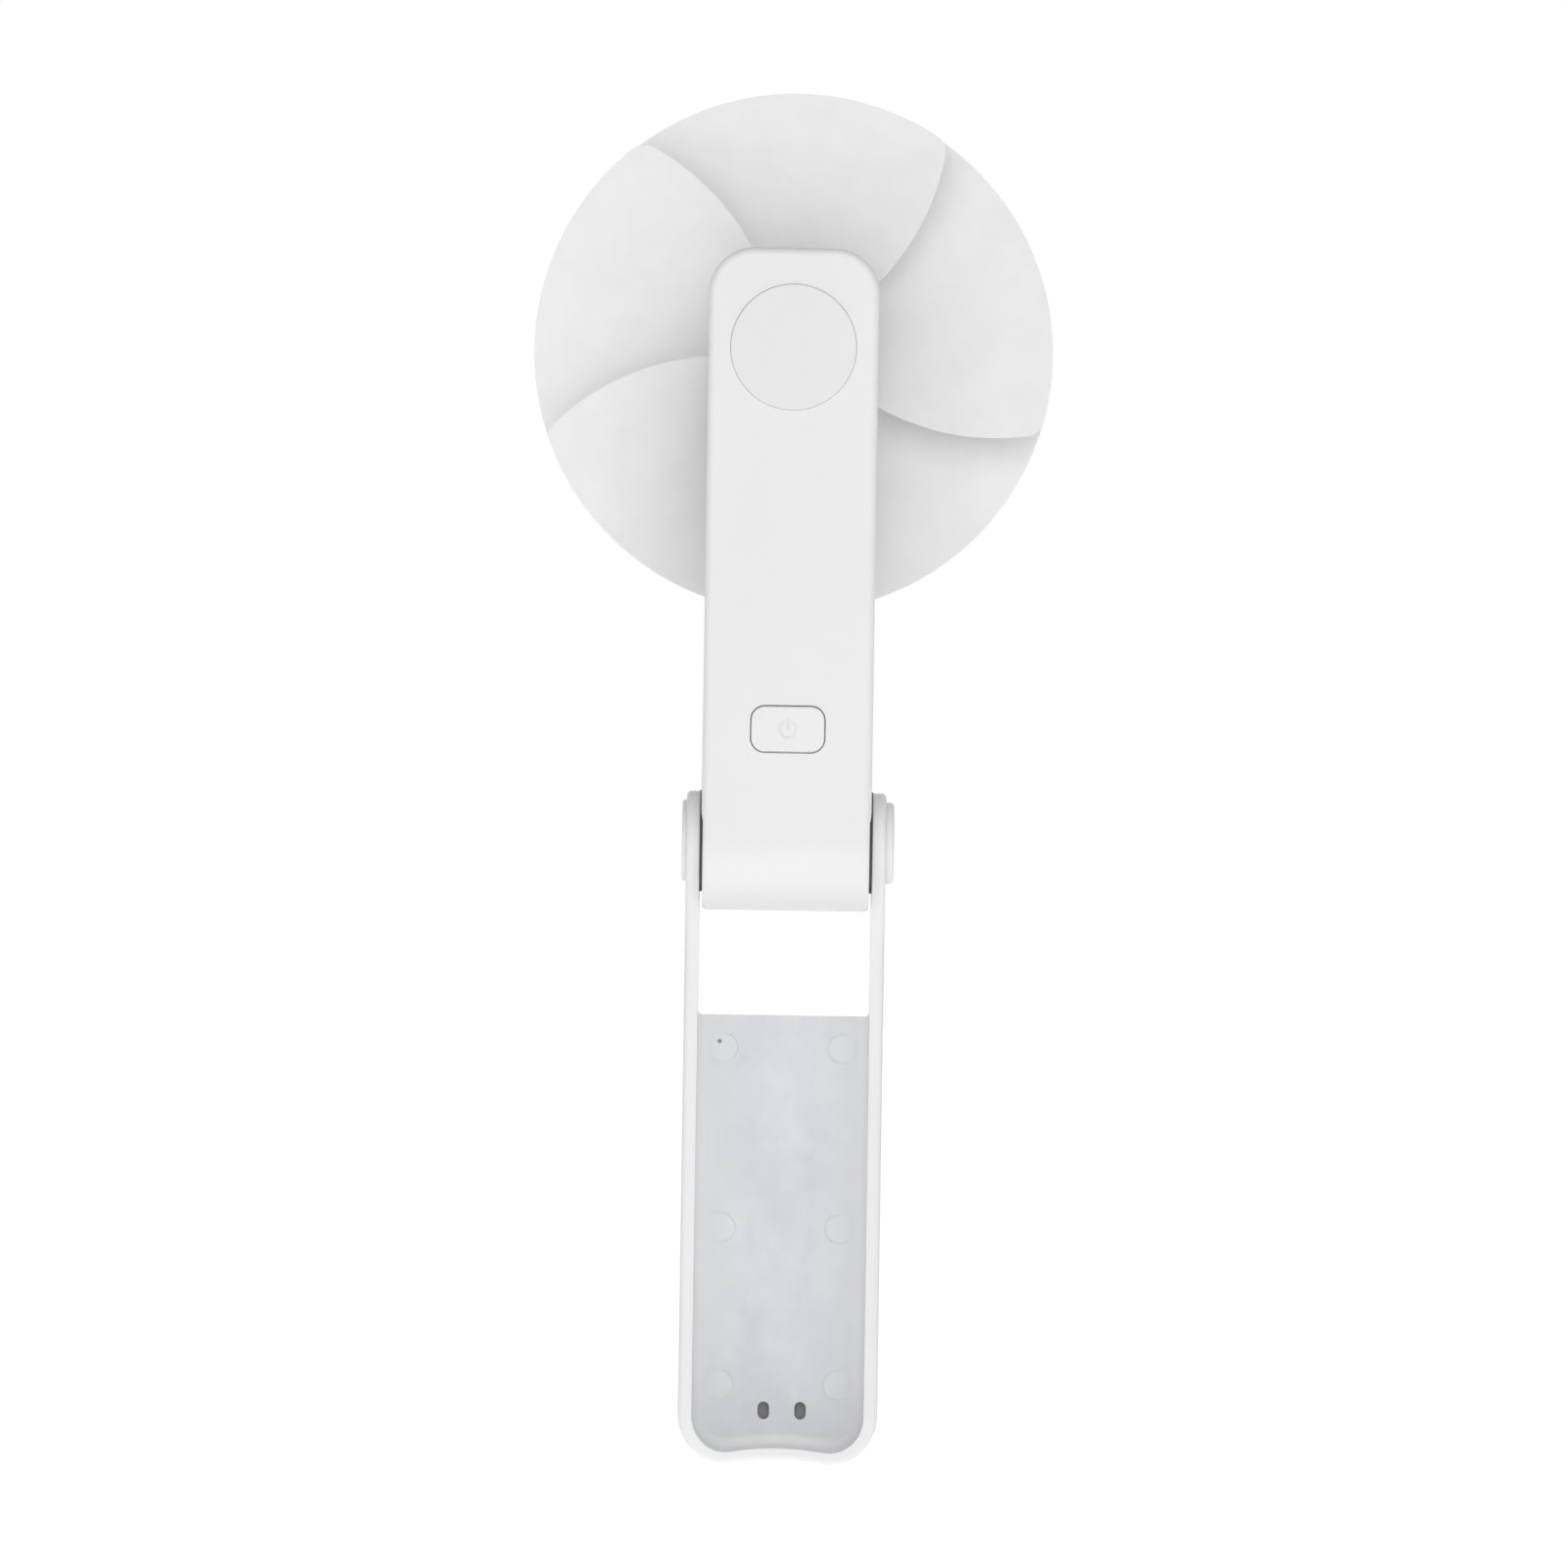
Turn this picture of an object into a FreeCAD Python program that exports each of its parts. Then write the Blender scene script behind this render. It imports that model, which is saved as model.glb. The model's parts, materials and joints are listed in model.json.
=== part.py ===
"""Handheld folding fan: a slim casing with a motor and an open rotor, on a flip cover that is its handle.

Frame: +Z runs up the casing, +Y is the way the air blows, +X is to the right seen from behind the fan.
The origin is on the hinge axis, midway between the cover's two arms. Lengths are in millimetres.
The fan is modelled with its cover open, in line with the casing.
"""
import FreeCAD
import Part

import math
import os
from types import SimpleNamespace

import Sketcher

V = FreeCAD.Vector

doc = FreeCAD.newDocument("handheld_fan")
sheet = doc.addObject("Spreadsheet::Sheet", "Sizes")

# Every driving size: alias, number and what it is.
SIZES = [
    # casing
    ("case_wall", 1.8, "casing wall"),
    ("side_room", 5.05, "room beside the battery for the screw bosses, each side"),
    ("depth_room", 4.1, "room in front of and behind the battery together"),
    ("head_room", 6.8, "height of the casing above the round cap"),
    ("case_corner", 8.5, "radius of the casing's two top corners"),
    ("case_edge", 1.4, "radius along the casing's edges"),
    ("cavity_edge", 0.8, "radius along the edges of the casing's hollow"),
    ("lip_height", 1.2, "lip that locates the two shells"),
    ("fit_gap", 0.1, "gap between fixed pieces that slip together"),
    ("groove", 0.25, "depth of the line where the shells meet"),
    # shell and board screws
    ("boss_inset", 2.5, "side screw bosses, in from the casing's inner side"),
    ("boss_low", 12.0, "lower screw bosses above the hinge axis"),
    ("boss_over_battery", 0.4, "gap from the battery to the upper screw bosses"),
    ("boss_under_top", 2.65, "top screw boss under the casing's inner top"),
    ("boss_radius", 2.7, "screw boss in the rear shell"),
    ("boss_step", 0.3, "screw boss in the front shell, wider than the rear one"),
    ("screw_shank", 1.0, "shell screw, shank radius"),
    ("screw_head", 1.6, "shell screw, head radius"),
    ("screw_gap", 0.15, "gap round screw heads, and round shanks where they pass through"),
    ("pilot_gap", 0.02, "gap round screws in their pilot holes"),
    ("screw_length", 15.0, "shell screw under its head"),
    ("screw_sink", 4.0, "seat of the shell screw heads below the casing's front"),
    ("board_screw_length", 4.6, "board screw under its head"),
    # motor and shaft
    ("motor_radius", 11.0, "motor can, outside"),
    ("motor_over_battery", 1.4, "gap from the battery to the motor can"),
    ("motor_side_gap", 3.2, "gap from the motor can to the casing's inner side, at least"),
    ("motor_pad", 1.7, "pad that the motor is screwed to, above the shell's inner face"),
    ("motor_length", 16.0, "motor can, front to back"),
    ("can_skin", 0.6, "motor can, side"),
    ("can_front", 1.0, "motor can, front"),
    ("end_plate", 1.0, "motor end plate"),
    ("nose_wall", 0.8, "wall of the noses round the bushes"),
    ("rear_nose", 1.2, "nose round the rear bush, behind the end plate"),
    ("front_nose", 2.4, "nose round the front bush, in front of the can"),
    ("shaft_behind", 1.2, "shaft behind the rear bush"),
    ("shaft_to_cap", 1.3, "gap from the shaft to the round cap, at least"),
    ("shaft_radius", 1.0, "motor shaft"),
    ("bush_radius", 2.5, "motor bearing bushes, outside"),
    ("shaft_play", 0.03, "running clearance of the shaft in its bushes"),
    ("magnet_over", 0.6, "magnet beyond the stator at each end"),
    ("stator_ring", 1.8, "stator, ring"),
    ("tooth_length", 3.3, "stator, teeth"),
    ("air_gap", 0.6, "gap between magnet and stator teeth"),
    ("stator_length", 8.5, "stator stack"),
    ("tooth_width", 2.4, "stator tooth"),
    ("tooth_count", 6, "stator teeth"),
    ("coil_depth", 1.35, "winding on each side of a tooth"),
    ("motor_screw_side", 7.5, "motor screws, from the rotor axis"),
    ("cap_radius", 11.85, "round cap behind the motor"),
    ("cap_gap", 0.05, "gap round the round cap"),
    ("cap_proud", 0.3, "round cap above the casing's back"),
    ("cap_ledge", 0.7, "width of the shell's ledge under the round cap"),
    # rotor
    ("blade_count", 5, "blades"),
    ("blade_tip", 49.4, "blade tip radius"),
    ("blade_span", 85.0, "degrees that one blade covers"),
    ("blade_sweep", 14.0, "degrees that a blade's edges lean at the tip"),
    ("blade_rise", 8.0, "rise of a blade along the axis, edge to edge"),
    ("blade_skin", 0.9, "blade thickness along the axis"),
    ("blade_round", 3.6, "radius of a blade's tip corners"),
    ("blade_root", 1.0, "depth that a blade is held in the hub"),
    ("blade_clear", 1.3, "gap from the casing's front to the blades"),
    ("blade_play", 0.03, "gap round a blade in its slot"),
    ("hub_clear", 1.0, "gap from the casing's front to the hub"),
    ("hub_radius", 12.0, "hub, outside"),
    ("hub_wall", 1.8, "hub, wall"),
    ("hub_web", 1.6, "hub, web behind its cap"),
    ("hub_front", 1.9, "hub in front of the blades"),
    ("hub_boss", 3.4, "hub boss round the shaft"),
    ("hub_rim", 0.8, "hub rim round its cap"),
    ("hub_recess", 1.6, "depth that the hub cap sits in the hub"),
    ("hub_cap_rise", 1.4, "hub cap in front of the hub"),
    # hinge
    ("arm_end", 9.4, "radius of the cover arms round the hinge axis"),
    ("pin_radius", 2.0, "hinge pin"),
    ("pin_play", 0.05, "running clearance of the hinge pin"),
    ("pin_head_step", 1.5, "hinge pin head, wider than the pin"),
    ("pin_head_depth", 1.0, "hinge pin head, thickness"),
    ("pin_head_sink", 0.3, "hinge pin head below the arm's face"),
    ("hinge_bush_wall", 1.35, "hinge bush, wall"),
    ("bush_flange_step", 1.2, "hinge bush flange, wider than the bush"),
    ("bush_flange_depth", 1.1, "hinge bush flange, thickness"),
    ("hinge_boss_step", 2.1, "boss round the hinge bush, wider than the bush"),
    ("hinge_boss_depth", 1.5, "boss round the hinge bush, depth"),
    ("washer_radius", 9.6, "friction washer, radius"),
    ("washer_play", 0.08, "gap from the friction washer to the casing"),
    ("clip_thickness", 0.4, "clips on the shaft and hinge pins"),
    ("hinge_cap_inset", 1.7, "round caps over the hinge pins, in from the arm's edge"),
    ("cap_ring_gap", 1.5, "ring on a hinge cap, out from the pin head"),
    ("cap_ring", 1.0, "ring on a hinge cap, thickness"),
    ("cap_ring_depth", 0.9, "ring on a hinge cap, depth"),
    ("right_cap_proud", 1.5, "right hinge cap, height"),
    ("left_cap_proud", 0.8, "left hinge cap, height"),
    # flip cover
    ("cover_gap", 0.3, "gap between casing and cover, each side"),
    ("cheek_depth", 0.3, "recess in the casing's sides beside the cover's arms"),
    ("cover_wall", 2.55, "cover walls and arms"),
    ("cover_floor", 2.4, "cover floor"),
    ("face_gap", 0.7, "gap between the folded cover's floor and the casing"),
    ("end_gap", 4.05, "gap past the casing's top when folded"),
    ("end_wall", 2.2, "cover's end wall"),
    ("rim_past", 1.0, "cover rim behind the hinge axis"),
    ("window_below", 33.15, "upper edge of the cover floor, below the hinge axis"),
    ("window_round", 0.9, "corners of the window"),
    ("cover_corner", 9.6, "radius of the cover's end corners"),
    ("cover_edge", 1.0, "radius along the cover's edges"),
    ("floor_round", 3.0, "radius where floor meets walls"),
    ("notch_half", 10.2, "thumb notch, half its width"),
    ("notch_depth", 1.1, "thumb notch, depth"),
    ("notch_round", 3.4, "radius at the ends of the thumb notch, outside"),
    ("notch_inner_round", 6.0, "radius at the ends of the thumb notch, inside the tray"),
    ("arm_near", 20.0, "radius where the rim sweeps into the arm"),
    ("arm_far", 30.0, "radius where the floor sweeps into the arm"),
    ("slot_width", 2.2, "lanyard slot, across"),
    ("slot_height", 3.4, "lanyard slot, along"),
    ("slot_pitch", 7.0, "lanyard slots, centre to centre"),
    ("slot_shift", 0.8, "lanyard slots, off the cover's middle towards +X"),
    ("slot_inset", 9.65, "lanyard slots from the cover's end"),
    ("lanyard_skin", 0.8, "cover floor between the slots and the lanyard insert"),
    ("lanyard_rim", 1.4, "lanyard insert, above and below the slots"),
    ("cord_room", 1.0, "channel in the lanyard insert that joins the slots, depth"),
    ("mark_radius", 2.8, "ejector pin marks"),
    ("mark_inset", 5.05, "ejector pin marks, in from the cover's inner side"),
    ("mark_depth", 0.3, "ejector pin marks, depth"),
    ("gate_radius", 0.4, "mark of the moulding gate"),
    ("gate_depth", 0.5, "mark of the moulding gate, deeper than the ejector pin marks"),
    ("gate_aside", 0.8, "mark of the moulding gate, outside the ejector pin marks"),
    ("gate_below", 5.0, "mark of the moulding gate, below the window"),
    # button and switch
    ("button_width", 13.8, "power button, across"),
    ("button_height", 8.6, "power button, along"),
    ("button_corner", 2.6, "power button, corner radius"),
    ("button_level", 21.2, "power button above the hinge axis"),
    ("button_gap", 0.2, "gap round the power button"),
    ("button_proud", 0.2, "power button above the casing's back"),
    ("button_flange", 0.8, "flange that keeps the button in, beyond its sides"),
    ("flange_depth", 0.9, "flange that keeps the button in, thickness"),
    ("icon_radius", 1.7, "power sign on the button"),
    ("icon_line", 0.35, "power sign, line width"),
    ("icon_depth", 0.2, "power sign, depth"),
    ("switch_side", 6.0, "switch body, square"),
    ("switch_depth", 2.0, "switch body, depth"),
    ("switch_well", 1.2, "well that the plunger travels in, depth"),
    ("plunger_radius", 1.7, "switch plunger"),
    ("plunger_length", 1.2, "switch plunger, length"),
    # board, socket and battery
    ("board_room", 10.0, "room between the rear shell and the board"),
    ("board_thickness", 1.2, "control board"),
    ("board_half", 8.4, "control board, half its width"),
    ("board_low", 8.0, "lower edge of the board below the hinge axis"),
    ("standoff_inset", 1.5, "board standoffs, in from the board's sides"),
    ("standoff_gap", 0.5, "gap from the button's flange to the upper standoffs"),
    ("standoff_pitch", 19.5, "board standoffs, centre to centre along the casing"),
    ("standoff_radius", 1.6, "board standoffs"),
    ("socket_width", 8.94, "charging socket, across"),
    ("socket_depth", 3.26, "charging socket, depth"),
    ("socket_length", 7.0, "charging socket, length"),
    ("socket_skin", 0.3, "charging socket, sheet"),
    ("socket_gap", 0.25, "gap round the charging socket"),
    ("socket_reach", 0.4, "charging socket's mouth, past the casing's inner end"),
    ("battery_radius", 9.15, "battery cell"),
    ("battery_length", 49.0, "battery cell, with its terminal"),
    ("battery_gap", 1.6, "gap from the board to the battery"),
    ("battery_rest", 0.85, "gap from the battery to the front shell"),
    ("saddle_gap", 0.15, "gap from the battery to the ribs' saddles"),
    ("rib_from_end", 9.8, "ribs, from the battery's ends"),
    ("rib_thickness", 1.4, "ribs that hold the battery"),
    ("rear_rib_half", 6.2, "ribs in the rear shell, half their width"),
    ("front_rib_half", 8.0, "ribs in the front shell, half their width"),
    ("tab_thickness", 0.2, "battery tabs"),
    ("tab_half", 2.5, "battery tabs, half their width"),
    ("lead_radius", 0.45, "insulated leads"),
]


class Size:
    """A length that knows its number and the spreadsheet formula that gives it."""

    def __init__(self, number, formula):
        self.number = number
        self.formula = formula

    @staticmethod
    def of(value):
        """A Size as it is, or a plain number as a constant Size."""
        return value if isinstance(value, Size) else Size(float(value), f"({value})")

    def _with(self, other, number, sign):
        return Size(number, f"({self.formula} {sign} {Size.of(other).formula})")

    def __add__(self, other):
        return self._with(other, self.number + Size.of(other).number, "+")

    def __sub__(self, other):
        return self._with(other, self.number - Size.of(other).number, "-")

    def __mul__(self, other):
        return self._with(other, self.number * Size.of(other).number, "*")

    def __truediv__(self, other):
        return self._with(other, self.number / Size.of(other).number, "/")

    def __neg__(self):
        return Size(-self.number, f"(0 - {self.formula})")

    __radd__ = __add__


def larger(first, second):
    """The larger of two sizes."""
    return Size(max(first.number, second.number), f"max({first.formula}; {second.formula})")


def in_order(*sizes):
    """The sizes from the lowest to the highest."""
    return sorted(sizes, key=lambda size: size.number)


def fill_sheet():
    """Writes the sizes into the spreadsheet and returns them as Size objects by name."""
    for row, (alias, number, meaning) in enumerate(SIZES, start=1):
        sheet.set(f"A{row}", alias)
        sheet.set(f"B{row}", str(number))
        sheet.setAlias(f"B{row}", alias)
        sheet.set(f"C{row}", meaning)
    doc.recompute()
    return SimpleNamespace(**{a: Size(float(sheet.get(a)), f"Sizes.{a}") for a, _, _ in SIZES})


s = fill_sheet()

# Sizes and places that several pieces share. The casing is as deep and wide as its contents need.
MOTOR_DEPTH = s.motor_pad + s.motor_length + s.end_plate + s.rear_nose + s.shaft_behind + s.shaft_to_cap
INNER_FACE = larger(s.battery_radius + s.depth_room / 2, MOTOR_DEPTH / 2)
INNER_SIDE = larger(
    larger(s.battery_radius + s.side_room, s.motor_radius + s.motor_side_gap),
    s.cap_radius + s.cavity_edge + s.fit_gap * 2,
)
CASE_FACE = INNER_FACE + s.case_wall
CASE_SIDE = INNER_SIDE + s.case_wall
# Up the casing: board, battery, motor, top.
BOARD_HIGH = (s.button_level + s.button_height / 2 + s.button_flange + s.standoff_gap
              + s.standoff_radius * 2)
BATTERY_LOW = BOARD_HIGH + s.battery_gap
BATTERY_TOP = BATTERY_LOW + s.battery_length
FAN_AXIS = BATTERY_TOP + s.motor_over_battery + s.motor_radius
CASE_TOP = FAN_AXIS + larger(s.cap_radius, s.motor_radius + s.cap_ledge) + s.head_room
BATTERY_AXIS = INNER_FACE - s.battery_rest - s.battery_radius
RIB_LEVELS = [BATTERY_LOW + s.rib_from_end, BATTERY_TOP - s.rib_from_end]
# Screws.
FRONT_BOSS = s.boss_radius + s.boss_step
UPPER_BOSS = BATTERY_TOP + s.boss_over_battery + FRONT_BOSS
TOP_BOSS = CASE_TOP - s.case_wall - s.boss_under_top
BOSS_SIDE = INNER_SIDE - s.boss_inset
BOSS_PLACES = [
    (Size.of(0), TOP_BOSS),
    (-BOSS_SIDE, UPPER_BOSS),
    (BOSS_SIDE, UPPER_BOSS),
    (-BOSS_SIDE, s.boss_low),
    (BOSS_SIDE, s.boss_low),
]
SCREW_SEAT = CASE_FACE - s.screw_sink
MOTOR_SCREW_SEAT = INNER_FACE + 0.7
MOTOR_SCREW_PLACES = [(s.motor_screw_side * side, FAN_AXIS) for side in (-1, 1)]
BOARD_SHANK = s.screw_shank * 0.8
# Board, socket and switch.
BOARD_BACK = -(INNER_FACE - s.board_room)
BOARD_FRONT = BOARD_BACK + s.board_thickness
STANDOFF_SIDE = s.board_half - s.standoff_inset
STANDOFF_HIGH = BOARD_HIGH - s.standoff_radius
STANDOFF_PLACES = [
    (STANDOFF_SIDE * side, level)
    for level in (STANDOFF_HIGH, STANDOFF_HIGH - s.standoff_pitch)
    for side in (-1, 1)
]
SOCKET_MIDDLE = BOARD_FRONT + s.socket_depth / 2
SOCKET_MOUTH = INNER_FACE + s.socket_reach
SWITCH_BACK = BOARD_BACK - s.switch_depth
# Motor and rotor.
MOTOR_FRONT = INNER_FACE - s.motor_pad
MOTOR_BACK = MOTOR_FRONT - s.motor_length
CAN_INSIDE = s.motor_radius - s.can_skin
TOOTH_TIP = CAN_INSIDE - s.stator_ring - s.tooth_length
MAGNET_RADIUS = TOOTH_TIP - s.air_gap
NOSE_RADIUS = s.bush_radius + s.nose_wall
END_PLATE_BACK = MOTOR_BACK - s.end_plate
REAR_NOSE_BACK = END_PLATE_BACK - s.rear_nose
SHAFT_BACK = REAR_NOSE_BACK - s.shaft_behind
HUB_BACK = CASE_FACE + s.hub_clear
BLADE_BACK = CASE_FACE + s.blade_clear
HUB_FRONT = BLADE_BACK + s.blade_rise + s.blade_skin + s.hub_front
HUB_SEAT = HUB_FRONT - s.hub_recess
SHAFT_FRONT = HUB_SEAT - 0.6
# Hinge and cover.
HINGE_BUSH = s.pin_radius + s.pin_play + s.hinge_bush_wall
HINGE_BOSS = HINGE_BUSH + s.hinge_boss_step
PIN_HEAD = s.pin_radius + s.pin_head_step
HINGE_CAP = s.arm_end - s.hinge_cap_inset
CHEEK = CASE_SIDE - s.cheek_depth
ARM_INNER = CASE_SIDE + s.cover_gap
ARM_OUTER = ARM_INNER + s.cover_wall
FLOOR_INNER = CASE_FACE + s.face_gap
FLOOR_OUTER = FLOOR_INNER + s.cover_floor
CAVITY_END = CASE_TOP + s.end_gap
COVER_END = CAVITY_END + s.end_wall
SLOT_LEVEL = -COVER_END + s.slot_inset
INSERT_FACE = FLOOR_INNER + s.lanyard_skin
INSERT_HALF = s.slot_height / 2 + s.lanyard_rim
NOTCH_RADIUS = (s.notch_half * s.notch_half + s.notch_depth * s.notch_depth) / (s.notch_depth * 2)


# Helpers: every property that holds a size is bound to the spreadsheet.

def bind(item, path, size):
    """Ties one property to the spreadsheet."""
    item.setExpression(path, Size.of(size).formula)


def place(item, x=0, y=0, z=0):
    """Ties an object's position to the spreadsheet."""
    for axis, size in (("x", x), ("y", y), ("z", z)):
        bind(item, f"Placement.Base.{axis}", size)
    return item


def new_body(label):
    body = doc.addObject("PartDesign::Body", label)
    body.Label = label
    return body


def new_sketch(body, name, role):
    """A sketch on one of the body's own origin planes."""
    sketch = body.newObject("Sketcher::SketchObject", f"{body.Name}_{name}")
    plane = next(f for f in body.Origin.OriginFeatures if f.Role == role)
    sketch.AttachmentSupport = [(plane, "")]
    sketch.MapMode = "FlatFace"
    return sketch


def fix(sketch, kind, where, size):
    """Adds a dimension to a sketch and ties it to the spreadsheet."""
    number = sketch.addConstraint(Sketcher.Constraint(kind, *where, Size.of(size).number))
    bind(sketch, f"Constraints[{number}]", size)


def fix_point(sketch, geometry, end, across, up):
    """Ties one end of a line or arc, or an arc's centre, to the sketch's origin."""
    fix(sketch, "DistanceX", (-1, 1, geometry, end), across)
    fix(sketch, "DistanceY", (-1, 1, geometry, end), up)


def join(sketch, first, second):
    """Puts the end of one sketch line on the start of another."""
    sketch.addConstraint(Sketcher.Constraint("Coincident", first, 2, second, 1))


def draw_polygon(sketch, corners):
    """A closed outline of straight lines through corners, each an (across, up) pair."""
    corners = [(Size.of(across), Size.of(up)) for across, up in corners]
    points = [V(across.number, up.number, 0) for across, up in corners]
    count = len(points)
    first = sketch.GeometryCount
    for i in range(count):
        sketch.addGeometry(Part.LineSegment(points[i], points[(i + 1) % count]))
    for i in range(count):
        join(sketch, first + i, first + (i + 1) % count)
        fix_point(sketch, first + i, 1, *corners[i])


def draw_circle(sketch, across, up, radius):
    across, up, radius = Size.of(across), Size.of(up), Size.of(radius)
    circle = Part.Circle(V(across.number, up.number, 0), V(0, 0, 1), radius.number)
    geometry = sketch.addGeometry(circle)
    fix(sketch, "Radius", (geometry,), radius)
    fix_point(sketch, geometry, 3, across, up)


def pad(body, sketch, length):
    """Pads a sketch to both sides of its plane."""
    feature = body.newObject("PartDesign::Pad", f"{body.Name}_pad")
    feature.Profile = sketch
    feature.SideType = "Symmetric"
    bind(feature, "Length", length)
    return feature


def pocket(body, sketch):
    """Cuts a sketch through the whole body, to both sides of its plane."""
    feature = body.newObject("PartDesign::Pocket", f"{body.Name}_pocket")
    feature.Profile = sketch
    feature.SideType = "Symmetric"
    feature.Type = "ThroughAll"
    return feature


def sharp_edges(shape, wanted=lambda edge: True):
    """Names of the edges whose two faces meet at an angle, where wanted(edge) is true."""
    names = []
    for number, edge in enumerate(shape.Edges, start=1):
        faces = [f for f in shape.Faces if any(edge.isSame(e) for e in f.Edges)]
        if len(faces) != 2 or not wanted(edge):
            continue
        middle = edge.valueAt((edge.FirstParameter + edge.LastParameter) / 2)
        normals = [f.normalAt(*f.Surface.parameter(middle)) for f in faces]
        if normals[0].cross(normals[1]).Length > 0.05:
            names.append(f"Edge{number}")
    return names


def fillet(body, radius, wanted=lambda edge: True):
    """Rounds the body's sharp edges that are wanted."""
    doc.recompute()
    base = body.Tip
    feature = body.newObject("PartDesign::Fillet", f"{body.Name}_fillet")
    feature.Base = (base, sharp_edges(base.Shape, wanted))
    bind(feature, "Radius", radius)
    doc.recompute()
    return feature


def along(axis):
    """A test for straight edges along one axis."""
    def test(edge):
        if not isinstance(edge.Curve, (Part.Line, Part.LineSegment)):
            return False
        return abs(edge.tangentAt(edge.FirstParameter).dot(axis)) > 0.999
    return test


def turned(label, axis, profile, at=(0, 0, 0)):
    """A piece turned on a lathe: profile holds (along, radius) pairs, and axis is x, y or z."""
    body = new_body(label)
    sketch = new_sketch(body, "profile", "XZ_Plane" if axis == "z" else "XY_Plane")
    corners = profile if axis == "x" else [(radius, step) for step, radius in profile]
    draw_polygon(sketch, corners)
    revolution = body.newObject("PartDesign::Revolution", f"{label}_turn")
    revolution.Profile = sketch
    revolution.ReferenceAxis = (sketch, ["H_Axis" if axis == "x" else "V_Axis"])
    revolution.Angle = 360
    return place(body, *at)


TURN = {
    "x": FreeCAD.Rotation(V(0, 1, 0), 90),
    "y": FreeCAD.Rotation(V(1, 0, 0), -90),
    "z": FreeCAD.Rotation(),
}


def rod(name, axis, radius, low, high, at):
    """A cylinder along one axis from low to high. at holds its other two coordinates."""
    item = doc.addObject("Part::Cylinder", name)
    item.Placement = FreeCAD.Placement(V(), TURN[axis])
    bind(item, "Radius", radius)
    bind(item, "Height", Size.of(high) - low)
    position = dict(zip([a for a in "xyz" if a != axis], at))
    position[axis] = low
    return place(item, **position)


def block(name, x, y, z):
    """A box between the low and high values of each pair."""
    item = doc.addObject("Part::Box", name)
    for path, (low, high) in (("Length", x), ("Width", y), ("Height", z)):
        bind(item, path, Size.of(high) - low)
    return place(item, x[0], y[0], z[0])


def combine(kind, label, items):
    item = doc.addObject(kind, label)
    item.Label = label
    item.Shapes = items
    return item


def fuse(label, *items):
    return combine("Part::MultiFuse", label, list(items))


def common(label, *items):
    return combine("Part::MultiCommon", label, list(items))


def cut(label, base, *tools):
    """base with every tool taken away."""
    item = doc.addObject("Part::Cut", label)
    item.Label = label
    item.Base = base
    item.Tool = tools[0] if len(tools) == 1 else fuse(f"{label}_tools", *tools)
    return item


def group(label, items):
    """Separate solids that share one node."""
    item = doc.addObject("Part::Compound", label)
    item.Label = label
    item.Links = items
    return item


def feature(label, shape, at=(0, 0, 0)):
    """A piece whose shape is worked out in Python from the spreadsheet's sizes."""
    item = doc.addObject("Part::Feature", label)
    item.Label = label
    item.Shape = shape
    return place(item, *at)


def slot_tool(name, axis, half_across, half_up, low, high, at):
    """A tool for an upright slot with round ends, along y or z, at the centre given."""
    across, other = at
    straight = half_up - half_across
    offsets = (-straight, straight)
    if axis == "y":
        rods = [rod(f"{name}_end", "y", half_across, low, high, (across, other + o)) for o in offsets]
        middle = block(
            f"{name}_middle",
            (across - half_across, across + half_across),
            (low, high),
            (other - straight, other + straight),
        )
    else:
        rods = [rod(f"{name}_end", "z", half_across, low, high, (across + o, other)) for o in offsets]
        middle = block(
            f"{name}_middle",
            (across - straight, across + straight),
            (other - half_across, other + half_across),
            (low, high),
        )
    return fuse(name, middle, *rods)


def lanyard_tool(name, half_pitch, half_up, low, high):
    """A tool that lies across the cover behind both lanyard slots, with round ends, along y."""
    ends = (s.slot_shift - half_pitch, s.slot_shift + half_pitch)
    rods = [rod(f"{name}_end", "y", half_up, low, high, (across, SLOT_LEVEL)) for across in ends]
    middle = block(f"{name}_middle", ends, (low, high), (SLOT_LEVEL - half_up, SLOT_LEVEL + half_up))
    return fuse(name, middle, *rods)


# Casing

def casing_form(label, inset, edge):
    """The casing's form, shrunk by inset, its edges rounded: round below, with two round top corners."""
    face = CASE_FACE - inset
    top = CASE_TOP - inset
    body = new_body(label)
    sketch = new_sketch(body, "side", "YZ_Plane")
    arc = sketch.addGeometry(
        Part.ArcOfCircle(Part.Circle(V(0, 0, 0), V(0, 0, 1), face.number), math.pi, 2 * math.pi)
    )
    outline = [V(face.number, 0), V(face.number, top.number), V(-face.number, top.number), V(-face.number, 0)]
    lines = [sketch.addGeometry(Part.LineSegment(a, b)) for a, b in zip(outline, outline[1:])]
    for first, second in zip([arc, *lines], [*lines, arc]):
        join(sketch, first, second)
    for end in (1, 2):
        sketch.addConstraint(Sketcher.Constraint("PointOnObject", arc, end, -1))
    sketch.addConstraint(Sketcher.Constraint("Coincident", arc, 3, -1, 1))
    sketch.addConstraint(Sketcher.Constraint("Vertical", lines[0]))
    sketch.addConstraint(Sketcher.Constraint("Vertical", lines[2]))
    sketch.addConstraint(Sketcher.Constraint("Horizontal", lines[1]))
    fix(sketch, "Radius", (arc,), face)
    fix(sketch, "DistanceY", (-1, 1, lines[1], 1), top)
    pad(body, sketch, (CASE_SIDE - inset) * 2)
    fillet(body, s.case_corner - inset, along(V(0, 1, 0)))
    fillet(body, edge)
    return body


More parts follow.
